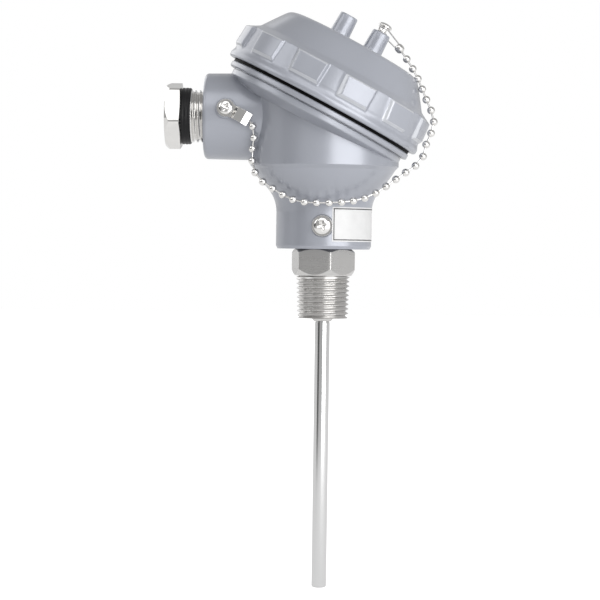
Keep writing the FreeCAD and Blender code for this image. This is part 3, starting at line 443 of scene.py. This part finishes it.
thread = {"columns": 96, "lowFade": 0.6, "highFade": 0.9, "lowCut": 0.25, "rootProud": 0.02,
          "shape": (0.0, 0.0, 0.18, 0.42, 0.68, 0.94, 1.0, 0.86, 0.6, 0.32)}  # depth over one pitch
hexagon = {"columns": 144, "bevelInset": 0.25, "rimWidth": 2.0}


def helixThread(facts, low, high):
    # rows follow the helix and are held to the two ends, where the cut runs out
    pitch, columns, shape = facts["pitch"], thread["columns"], thread["shape"]
    rows = (math.ceil((high - low) / pitch) + 1) * len(shape) + 1
    points = []
    for row in range(rows):
        cut = shape[row % len(shape)]
        for column in range(columns + 1):
            free = low - pitch + pitch * (row / len(shape) + column / columns)
            level = min(high, max(low, free))
            fade = held((level - low) / thread["lowFade"] + thread["lowCut"])
            fade *= held((high - level) / thread["highFade"])
            radius = facts["crest"] + facts["taper"] * level - facts["depth"] * cut * fade
            points.append(polar(radius, 2 * math.pi * column / columns, level))
    return points, gridFaces(rows, columns + 1, False)


def rimRadius(facts):
    return facts["flats"] / 2 - hexagon["bevelInset"] - hexagon["rimWidth"]


def hexWall(facts):
    # side wall with a turned bevel at both ends, given as rise for each step outward
    half, high, cut = facts["flats"] / 2, facts["hexHeight"], facts["cornerCut"]
    inner, rim = half - hexagon["bevelInset"], rimRadius(facts)
    lowBevel, highBevel = facts["bevels"]
    rings = [[], [], [], [], [], []]
    for spin in evenTurns(hexagon["columns"]):
        local = (spin - math.radians(facts["hexTurn"])) % (math.pi / 3) - math.pi / 6
        reach = smoothMin(half / math.cos(local), half / math.cos(math.pi / 6) - cut, cut)
        fall = reach - inner
        levels = [0, 0, fall * lowBevel, high - fall * highBevel, high, high]
        radii = [rim, inner, reach, reach, inner, rim]
        for ring, radius, level in zip(rings, radii, levels):
            ring.append(polar(radius, spin, level))
    return ringsToMesh(rings)


fitting = {
    "flats": 23.0, "hexTurn": -16.0, "hexHeight": 10.6, "bevels": (1.3, 0.7), "cornerCut": 0.11,
    "crest": 10.67, "taper": 0.53 / 17, "depth": 1.15, "pitch": 1.814, "threadFrom": -17.0, "threadTo": -0.5,
    "nipple": ((9.2, 10.6), (9.2, 11.4), (10.2, 11.8), (10.2, 23.6), (9.4, 24.6), (7.5, 24.6), (7.5, 7.5),
               (2.85, 6.0)),
    "collar": ((2.85, -18.3), (3.25, -18.3), (3.7, -18.05), (4.05, -17.6), (4.2, -17.05), (8.2, -17.0),
               (8.75, -16.95), (9.0, -16.85)),
    "underHex": ((9.75, -0.28), (9.75, 0)),
    "bore": ((2.85, 6.0), (2.85, -18.3)),
}


def buildFitting():
    facts = fitting
    rim = rimRadius(facts)
    upper = lathe(((rim, facts["hexHeight"]), *facts["nipple"]))
    root = lathe(((facts["crest"] - thread["rootProud"], facts["threadTo"]), *facts["underHex"], (rim, 0)))
    whole = joined(hexWall(facts), upper, lathe(facts["collar"]),
                   helixThread(facts, facts["threadFrom"], facts["threadTo"]), root, lathe(facts["bore"]))
    makePiece("threadedFitting", whole, [turnedSteel], "head", ["process_fitting"], 32)


buildFitting()

boss = {"level": 63.0, "radius": 17.1}  # the head's boss for the cable
gland = {
    "flats": 24.5, "hexTurn": 17.4, "hexHeight": 6.2, "bevels": (0.15, 0.95), "cornerCut": 0.22,
    "face": -57.3, "crest": 10.48, "taper": 0, "depth": 1.0, "pitch": 1.814, "threadFrom": -12.9,
    "threadTo": -4.0,
    "mouth": ((8.0, 6.2), (7.4, 6.1), (6.4, 5.5), (6.0, 5.2), (6.0, -13.2), (9.6, -13.2), (9.85, -13.1),
              (9.98, -12.9)),
    "underHex": ((9.6, -3.9), (9.6, 0)),
    "ring": ((9.95, -4.0), (10.6, -4.0), (10.95, -3.85), (11.2, -3.5), (11.3, -3.1), (11.12, -2.85),
             (11.12, -2.75), (11.3, -2.5), (11.3, -1.75), (11.1, -1.5), (11.1, -1.4), (11.3, -1.15),
             (11.28, -0.6), (11.1, -0.25), (10.8, -0.05), (10.5, 0), (9.95, 0), (9.95, -4.0)),
}
glandFrame = facing((gland["face"], 0, boss["level"]), (-1, 0, 0), (0, 0, 1))


def buildGland():
    facts = gland
    rim = rimRadius(facts)
    mouth = lathe(((rim, facts["hexHeight"]), *facts["mouth"]))
    under = lathe(((facts["crest"] - thread["rootProud"], facts["threadTo"]), *facts["underHex"], (rim, 0)))
    whole = joined(hexWall(facts), mouth, helixThread(facts, facts["threadFrom"], facts["threadTo"]), under)
    makePiece("glandNut", whole, [brightNickel], "gland_nut", ["gland_nut"], 32, glandFrame)
    # squeezed rubber with shallow lines round it
    makePiece("glandRing", lathe(facts["ring"]), [blackRubber], "gland_carrier", ["gland_ring"], 60,
              glandFrame)


buildGland()
print("fitting and gland built")

screws = {
    "crossSpan": 1.8, "crossHalf": 0.42, "crossDepth": 1.3, "armSoft": 0.1, "wellRadius": 0.95,
    "wellSlope": 0.7, "shallowFrom": 2.6, "leastDepth": 0.35, "wallSoft": 0.12, "tipBevel": 0.3,
    "shankFlare": 0.6, "columns": 96, "rows": 34,
    "tab": {"head": 2.7, "height": 1.7, "seat": 0.8, "shank": 1.7, "depth": 5.0},
    "neck": {"head": 3.3, "height": 2.1, "seat": 0.8, "shank": 2.3, "depth": 8.1},
    "hook": {"head": 2.8, "height": 1.5, "rise": 2.7, "dome": 0.8, "slotHalf": 0.35, "slotDepth": 0.6,
             "slotTurn": 100, "waist": 38.45,
             "shank": ((0.1, 31.2), (1.3, 31.2), (1.5, 31.5), (1.5, 37.25), (2.1, 37.3), (2.2, 37.45),
                       (2.15, 37.6), (1.5, 37.8), (1.42, 38.0), (1.42, 38.95), (1.6, 39.05), (2.55, 39.1),
                       (2.65, 39.25), (2.65, 39.45), (2.5, 39.6), (1.9, 39.65), (1.8, 39.8))},
}
neck = {"radius": 19.0, "straightTo": 25.2, "flare": 13.9, "screwLevel": 19.7, "screwSunk": 0.6,
        "screwTurn": (0.94, 0, 0.34)}
tab = {"turn": 8.0, "slope": 28.0, "along": -38.6, "lift": 0.5, "chainEnd": (10.9, 0, 0.8)}


def crossDip(x, y):
    # how deep the driver recess is at a spot of the head
    facts = screws
    reach = math.hypot(x, y)
    armX = smoothMin(facts["crossSpan"] - abs(x), facts["crossHalf"] - abs(y), facts["armSoft"])
    armY = smoothMin(facts["crossSpan"] - abs(y), facts["crossHalf"] - abs(x), facts["armSoft"])
    inside = max(armX, armY, (facts["wellRadius"] - reach) * facts["wellSlope"])
    share = held(inside / facts["wallSoft"] + 0.5)
    return facts["crossDepth"] * share * max(facts["leastDepth"], 1 - reach / facts["shallowFrom"])


def slotDip(x, y):
    hook = screws["hook"]
    return hook["slotDepth"] * held((hook["slotHalf"] - abs(x)) / screws["wallSoft"] + 0.5)


def domedHead(radius, height, seat, dip, dome=0.42):
    # a turned head seen from above as a fine net, with its recess pressed in
    turns = evenTurns(screws["columns"])
    rings = [circle(radius * factor, level, turns)
             for factor, level in ((0.6, seat), (0.97, seat), (1.0, seat + 0.12))]
    for row in range(screws["rows"], 0, -1):
        reach = radius * row / screws["rows"]
        rim = 1 - math.sqrt(1 - (reach / radius) ** 2 * 0.985)
        ring = circle(reach, 0, turns)
        for point in ring:
            point.z = seat + height * (1 - dome * rim) - dip(point.x, point.y)
        rings.append(ring)
    return ringsToMesh(rings, (False, True))


def buildPanScrew(name, facts, matrix, node):
    head = domedHead(facts["head"], facts["height"], facts["seat"], crossDip)
    shank, bevel = facts["shank"], screws["tipBevel"]
    body = lathe(((0.1, -facts["depth"]), (shank - bevel, -facts["depth"]), (shank, bevel - facts["depth"]),
                  (shank, facts["seat"]), (facts["head"] * screws["shankFlare"], facts["seat"])),
                 screws["columns"], (True, False))
    makePiece(name, joined(head, body), [brightNickel], "head", [node], 30, matrix)


def tabPlace():
    # the tab lies on the boss, turned up a little from its front, and slopes down to the right
    turn, slope = math.radians(tab["turn"]), math.radians(tab["slope"])
    out = boss["radius"] + tab["lift"]
    spot = (tab["along"], -out * math.cos(turn), boss["level"] + out * math.sin(turn))
    down = (math.cos(slope), -math.sin(slope) * math.sin(turn), -math.sin(slope) * math.cos(turn))
    return facing(spot, (0, -math.cos(turn), math.sin(turn)), down)


def buildHookScrew():
    # slotted screw in the right post, with a collar and a waist that holds the loop
    facts = screws["hook"]
    top = cover["postTop"] + facts["rise"]
    head = domedHead(facts["head"], facts["height"], top, slotDip, facts["dome"])
    shank = lathe((*facts["shank"], (facts["head"] * screws["shankFlare"], top)), screws["columns"],
                  (True, False))
    turn = Matrix.Rotation(math.radians(facts["slotTurn"]), 4, "Z")
    whole = placed(joined(head, shank), Matrix.Translation((cover["postOffset"], 0, 0)) @ turn)
    makePiece("hookScrew", whole, [brightNickel], "cover", ["chain_screw"], 30, coverFrame)


tabFrame = tabPlace()
neckFrame = facing((0, neck["screwSunk"] - neck["radius"], neck["screwLevel"]), (0, -1, 0), neck["screwTurn"])
buildPanScrew("tabScrew", screws["tab"], tabFrame, "tab_screw")
buildPanScrew("neckScrew", screws["neck"], neckFrame, "neck_screw")
buildHookScrew()
print("screws built")

chain = {
    "ballRadius": 1.55, "holeRadius": 0.5, "holeLip": 0.06, "beadTwist": (0.3, 0.2, 0.93),
    "beadArcs": (36, 50, 64, 77, 90, 103, 116, 130, 144),  # degrees from one hole to the other
    "linkRadius": 0.36, "linkInset": 1.2, "closerFrom": 55, "closerTo": 72, "closerBeyond": 20,
    "closer": (-1.3, 0, -0.2), "bendStart": (0.012, -0.022, 0.028), "bendEnd": (0.045, -0.005, 0.072),
}
loop = {
    "wire": 0.27, "tilt": (0.45, -0.6, 0.65), "steps": 30, "eyeShare": 0.55, "eyeTurn": 112,
    "eyeRadius": 1.95, "legFrom": (0.73, 1.81), "legTo": (-0.6, 1.2), "pastBall": 0.5,
    "coupling": ((0.25, -1.75), (0.95, -1.7), (1.45, -1.35), (1.72, -0.8), (1.8, 0.0), (1.72, 0.8),
                 (1.45, 1.35), (0.95, 1.7), (0.25, 1.75)),
}


def solidCentres(node):
    # middle of each loose part of a CAD node, in the order of its solids
    mesh = nodes[node].data
    neighbours = {}
    for edge in mesh.edges:
        for near, far in (edge.vertices, reversed(edge.vertices)):
            neighbours.setdefault(near, []).append(far)
    matching = {}
    for vertex in mesh.vertices:
        key = tuple(round(value * 1e6) for value in vertex.co)
        matching.setdefault(key, []).append(vertex.index)
    for same in matching.values():
        for near, far in zip(same, same[1:]):
            neighbours.setdefault(near, []).append(far)
            neighbours.setdefault(far, []).append(near)
    seen, centres = set(), []
    for vertex in mesh.vertices:
        if vertex.index in seen:
            continue
        group, waiting = [], [vertex.index]
        seen.add(vertex.index)
        while waiting:
            here = waiting.pop()
            group.append(mesh.vertices[here].co)
            for far in neighbours.get(here, []):
                if far not in seen:
                    seen.add(far)
                    waiting.append(far)
        low = Vector([min(point[axis] for point in group) for axis in range(3)])
        high = Vector([max(point[axis] for point in group) for axis in range(3)])
        centres.append((low + high) / 2 / mm)
    return centres


def rodBetween(start, end, radius, columns=10):
    turn = (end - start).normalized().to_track_quat("Z", "Y").to_matrix()
    rings = [[place + turn @ polar(radius, angle) for angle in evenTurns(columns)] for place in (start, end)]
    return ringsToMesh(rings, (True, True))


def tube(points, radius, columns=12):
    # round wire along a line of points, closed at both ends
    side = (points[1] - points[0]).normalized().orthogonal().normalized()
    rings = []
    for number, point in enumerate(points):
        before, after = points[max(0, number - 1)], points[min(len(points) - 1, number + 1)]
        way = (after - before).normalized()
        side = (side - way * side.dot(way)).normalized()
        over = way.cross(side)
        rings.append([point + side * (radius * math.cos(angle)) + over * (radius * math.sin(angle))
                      for angle in evenTurns(columns)])
    return ringsToMesh(rings, (True, True))


def easedShift(centre):
    # the upper chain hangs a little closer to the cover than its solids do
    share = held((centre.z - chain["closerFrom"]) / (chain["closerTo"] - chain["closerFrom"]))
    eased = share * share * (3 - 2 * share) if centre.x > chain["closerBeyond"] else 0
    return centre + Vector(chain["closer"]) * eased


def inOrder(centres, here):
    # the chain's beads one after another, each the nearest to the one before
    left, way = list(centres), []
    while left:
        here = min(left, key=lambda centre: (centre - here).length)
        left.remove(here)
        way.append(here)
    return way


def bead(centre, way):
    facts = chain
    radius, hole = facts["ballRadius"], facts["holeRadius"]
    edge = math.degrees(math.asin(hole / radius))
    arcs = [math.radians(arc) for arc in (edge + 1, edge + 6, *facts["beadArcs"], 174 - edge, 179 - edge)]
    profile = [(radius * math.sin(arc), -radius * math.cos(arc)) for arc in arcs]
    lip, depth = hole - facts["holeLip"], radius * 0.80
    return placed(lathe([(lip, -depth), *profile, (lip, depth)], 26, (True, True)),
                  facing(centre, way, facts["beadTwist"]))


def buildLoop(end):
    # bent wire from the hook screw's waist to a crimped coupling at the chain's last ball
    facts = loop
    waist = coverFrame @ Vector((cover["postOffset"], 0, screws["hook"]["waist"]))
    along = (end - waist).normalized()
    across = (Vector(facts["tilt"]) - along * Vector(facts["tilt"]).dot(along)).normalized()
    reach = (end - waist).length
    wire = []
    for step in range(-facts["steps"], facts["steps"] + 1):
        part = step / facts["steps"]
        if abs(part) < facts["eyeShare"]:
            turn = part / facts["eyeShare"] * math.radians(facts["eyeTurn"])
            depth, side = -facts["eyeRadius"] * math.cos(turn), facts["eyeRadius"] * math.sin(turn)
        else:
            share = (abs(part) - facts["eyeShare"]) / (1 - facts["eyeShare"])
            depth = facts["legFrom"][0] * (1 - share) + (reach + facts["legTo"][0]) * share
            side = math.copysign(facts["legFrom"][1] * (1 - share) + facts["legTo"][1] * share, part)
        wire.append(waist + along * depth + across * side)
    crimp = placed(lathe(facts["coupling"], 32, (True, True)), facing(end, along, (0, 1, 0)))
    makePiece("chainLoop", joined(tube(wire, facts["wire"]), crimp), [brightNickel], "cover",
              ["chain_loop"], 50)


def buildChain():
    facts = chain
    tabEnd = tabFrame @ Vector(tab["chainEnd"])
    beads = solidCentres("lower_chain_balls") + solidCentres("upper_chain_balls")
    way = [easedShift(centre) for centre in inOrder(beads, tabEnd)]
    last = way[-1] - way[-2]
    loopEnd = way[-1] + last.normalized() * loop["pastBall"]  # the coupling is crimped over the last ball
    buildLoop(loopEnd)
    stops = [tabEnd] + way + [loopEnd + last]
    solids = []
    for number, centre in enumerate(way, start=1):
        solids.append(bead(centre, stops[number + 1] - stops[number - 1]))
    for near, far in zip(stops, stops[1:-1]):
        inset = (far - near).normalized() * facts["linkInset"]
        first = near if near is tabEnd else near + inset
        solids.append(rodBetween(first, far - inset, facts["linkRadius"]))
    piece = makePiece("ballChain", joined(*solids), [brightNickel], None, (), 50)
    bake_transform(piece)
    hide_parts("lower_chain_balls", "lower_chain_links", "upper_chain_balls", "upper_chain_links")
    print("chain of", len(way), "balls built")


buildChain()

# the bare plate on the neck, in degrees from the front and millimetres
label = {"fromBearing": 11.8, "toBearing": 92.0, "low": 13.6, "high": 27.2, "proud": 0.16, "back": 0.02,
         "rule": 0.42, "inset": 0.5, "margin": 2.0, "columns": 40, "rows": 8}


def neckRadiusAt(level):
    # the neck is straight and then sweeps out
    over = max(0.0, level - neck["straightTo"])
    return neck["radius"] + neck["flare"] - math.sqrt(neck["flare"] ** 2 - over ** 2)


def buildLabel():
    facts = label
    rule, inset = facts["rule"] / neck["radius"], facts["inset"] / neck["radius"]
    first, last = math.radians(facts["fromBearing"]), math.radians(facts["toBearing"])
    turns = [first, first + inset, first + inset + rule]
    turns += [first + (last - first) * step / facts["columns"] for step in range(2, facts["columns"] - 1)]
    turns += [last - inset - rule, last - inset, last]
    low, high, border = facts["low"], facts["high"], facts["inset"] + facts["rule"]
    levels = [low, low + facts["inset"], low + border]
    levels += [low + facts["margin"] + step * (high - low - 2 * facts["margin"]) / facts["rows"]
               for step in range(facts["rows"] + 1)]
    levels += [high - border, high - facts["inset"], high]
    points = []
    for layer in (facts["proud"], facts["back"]):
        for level in levels:
            reach = neckRadiusAt(level) + layer
            points += [Vector((reach * math.sin(turn), -reach * math.cos(turn), level)) * mm for turn in turns]
    columns, rows = len(turns), len(levels)
    behind = rows * columns
    faces = gridFaces(rows, columns, False)
    rim = list(range(columns))
    rim += [row * columns + columns - 1 for row in range(1, rows)]
    rim += [(rows - 1) * columns + column for column in range(columns - 2, -1, -1)]
    rim += [row * columns for row in range(rows - 2, 0, -1)]
    for near, far in zip(rim, rim[1:] + rim[:1]):
        faces.append((near, near + behind, far + behind, far))
    mesh = bpy.data.meshes.new("neckLabel")
    mesh.from_pydata(points, [], faces)
    cells = [(row, column) for row in range(rows - 1) for column in range(columns - 1)]
    for polygon, (row, column) in zip(mesh.polygons, cells):
        upright = min(column, columns - 2 - column) == 1 and 1 <= row <= rows - 3
        level = min(row, rows - 2 - row) == 1 and 1 <= column <= columns - 3
        polygon.material_index = 1 if upright or level else 0
    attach(addObject("neckLabel", mesh, [labelFace, labelRule], 40), "head")


buildLabel()
print("label built")

studio = {"floorLevel": -0.1262, "floorSize": 8.0, "floorTone": 0.86, "floorGlow": 0.74, "floorShine": 0.4,
          "floorCardsFrom": (0.5, 0.8), "worldFill": 0.69, "openSky": 0.45}
keyBox = {"place": (0.60, -0.80, 0.13), "aim": (0, 0, 0.03), "size": (0.98, 0.80), "power": 8.6}
floorCards = [  # strips that shiny surfaces see on the floor: bearing from the front, half width, darkness
    (-54, 12, 0.85),
    (-14, 22, 0.34),
]
skyCards = [  # what shiny surfaces see around: bearing from the front, half width, rise, half height, tone
    (-20, 24, 4, 14, 0.46),
    (-54, 12, 0, 14, 0.03),
    (108, 18, 0, 40, 0.62),
    (0, 25, 45, 14, 1.8),
    (-65, 16, 32, 12, 2.2),
    (-145, 30, 22, 16, 1.8),
    (180, 40, 20, 18, 0.62),
    (-180, 14, 20, 18, 0.62),
]


def bearingOf(tree, place):
    # angle about the upright axis, from the front to the right, and the part along that axis
    spot = addNode(tree, "ShaderNodeTexCoord")
    split = addNode(tree, "ShaderNodeSeparateXYZ")
    tree.links.new(spot.outputs[place], split.inputs[0])
    front = maths(tree, "MULTIPLY", split.outputs["Y"], -1.0)
    return maths(tree, "ARCTAN2", split.outputs["X"], front), split.outputs["Z"]


def within(tree, angle, middle, half, soft):
    # 1 inside a range of angles in degrees, falling softly to 0
    away = maths(tree, "ABSOLUTE", maths(tree, "SUBTRACT", angle, math.radians(middle)))
    ramp = addNode(tree, "ShaderNodeMapRange", {
        "From Min": math.radians(half), "From Max": math.radians(half + soft),
        "To Min": 1.0, "To Max": 0.0}, interpolation_type="SMOOTHSTEP")
    tree.links.new(away, ramp.inputs["Value"])
    return ramp.outputs["Result"]


def shadowFloor():
    mesh = bpy.data.meshes.new("studioFloor")
    half, level = studio["floorSize"] / 2, studio["floorLevel"]
    mesh.from_pydata([(-half, -half, level), (half, -half, level), (half, half, level),
                      (-half, half, level)], [], [(0, 1, 2, 3)])
    floor = bpy.data.objects.new("studioFloor", mesh)
    bpy.context.scene.collection.objects.link(floor)
    material, tree, shader = newMaterial("paleFloor")
    shader.inputs["Roughness"].default_value = 0.9
    shader.inputs["Specular IOR Level"].default_value = 0.0
    shader.inputs["Emission Color"].default_value = (1, 1, 1, 1)
    path = addNode(tree, "ShaderNodeLightPath")
    glossy = path.outputs["Is Glossy Ray"]
    bearing = bearingOf(tree, "Object")[0]
    deepest = 0.0
    for middle, halfWidth, darkness in floorCards:
        card = maths(tree, "MULTIPLY", within(tree, bearing, middle, halfWidth, 6), darkness)
        deepest = maths(tree, "MAXIMUM", deepest, card)
    spot = addNode(tree, "ShaderNodeTexCoord")
    distance = addNode(tree, "ShaderNodeVectorMath", operation="LENGTH")
    tree.links.new(spot.outputs["Object"], distance.inputs[0])
    afar = spread(tree, distance.outputs["Value"], 0, 1, *studio["floorCardsFrom"])
    dimmed = maths(tree, "MULTIPLY", maths(tree, "MULTIPLY", afar, deepest), glossy)
    tree.links.new(mixColour(tree, dimmed, (studio["floorTone"],) * 3, (0, 0, 0)),
                   shader.inputs["Base Color"])
    # the camera sees a white floor that still takes the object's shadow, and metal sees part of it
    seen = maths(tree, "MAXIMUM", path.outputs["Is Camera Ray"],
                 maths(tree, "MULTIPLY", glossy, studio["floorShine"]))
    glow = maths(tree, "MULTIPLY", seen, studio["floorGlow"])
    tree.links.new(maths(tree, "MULTIPLY", glow, maths(tree, "SUBTRACT", 1.0, dimmed)),
                   shader.inputs["Emission Strength"])
    mesh.materials.append(material)


def studioSky(tree):
    # brightness of the white tent by direction, with dark, grey and bright cards hung in it
    bearing, upright = bearingOf(tree, "Generated")
    rise = maths(tree, "ARCSINE", upright)
    level = addNode(tree, "ShaderNodeValue")
    level.outputs[0].default_value = studio["openSky"]
    brightness = level.outputs[0]
    for middle, halfWidth, riseAt, halfHeight, tone in skyCards:
        card = maths(tree, "MULTIPLY", within(tree, bearing, middle, halfWidth, 7),
                     within(tree, rise, riseAt, halfHeight, 8))
        mix = addNode(tree, "ShaderNodeMix", {"B": tone}, data_type="FLOAT")
        tree.links.new(card, mix.inputs["Factor"])
        tree.links.new(brightness, mix.inputs["A"])
        brightness = mix.outputs["Result"]
    return brightness


def whiteWorld():
    world = bpy.data.worlds.new("studioWorld")
    bpy.context.scene.world = world
    world.use_nodes = True
    tree = world.node_tree
    tree.nodes.clear()
    path = addNode(tree, "ShaderNodeLightPath")
    seen = maths(tree, "MAXIMUM", path.outputs["Is Camera Ray"], path.outputs["Is Transmission Ray"])
    background = addNode(tree, "ShaderNodeBackground", {"Color": (1, 1, 1, 1)})
    output = addNode(tree, "ShaderNodeOutputWorld")
    shiny = addNode(tree, "ShaderNodeMix", {"A": studio["worldFill"]}, data_type="FLOAT")
    strength = addNode(tree, "ShaderNodeMix", {"B": 1.0}, data_type="FLOAT")
    tree.links.new(path.outputs["Is Glossy Ray"], shiny.inputs["Factor"])
    tree.links.new(studioSky(tree), shiny.inputs["B"])
    tree.links.new(seen, strength.inputs["Factor"])
    tree.links.new(shiny.outputs["Result"], strength.inputs["A"])
    tree.links.new(strength.outputs["Result"], background.inputs["Strength"])
    tree.links.new(background.outputs[0], output.inputs["Surface"])


def hangKeyBox():
    light = bpy.data.lights.new("keyBox", "AREA")
    light.shape = "RECTANGLE"
    light.size, light.size_y = keyBox["size"]
    light.energy = keyBox["power"]
    lamp = bpy.data.objects.new("keyBox", light)
    lamp.location = keyBox["place"]
    lamp.rotation_euler = (Vector(keyBox["aim"]) - Vector(keyBox["place"])).to_track_quat("-Z", "Y").to_euler()
    bpy.context.scene.collection.objects.link(lamp)


view = {"distance": 1.0, "azimuth": 1.8, "height": 0.012, "aimHeight": -0.0098, "roll": -0.8,
        "focalPixels": 2500, "imagePixels": 600, "sensor": 36, "sideShift": -0.0378, "clipFrom": 0.05}


def placeCamera():
    side, roll = math.radians(view["azimuth"]), math.radians(view["roll"])
    place = Vector((view["distance"] * math.sin(side), -view["distance"] * math.cos(side), view["height"]))
    ahead = (Vector((0, 0, view["aimHeight"])) - place).normalized()
    right = ahead.cross(Vector((0, 0, 1))).normalized()
    up = right.cross(ahead)
    rolledRight = right * math.cos(roll) - up * math.sin(roll)
    rolledUp = right * math.sin(roll) + up * math.cos(roll)
    camera = bpy.data.cameras.new("photoCamera")
    camera.sensor_width = view["sensor"]
    camera.lens = view["sensor"] * view["focalPixels"] / view["imagePixels"]
    camera.shift_x = view["sideShift"]
    camera.clip_start = view["clipFrom"]
    stand = bpy.data.objects.new("photoCamera", camera)
    turn = Matrix((rolledRight, rolledUp, -ahead)).transposed().to_4x4()
    stand.matrix_world = Matrix.Translation(place) @ turn
    bpy.context.scene.collection.objects.link(stand)
    bpy.context.scene.camera = stand


shadowFloor()
whiteWorld()
hangKeyBox()
placeCamera()
bpy.context.scene.view_settings.view_transform = "Standard"
print("studio set")
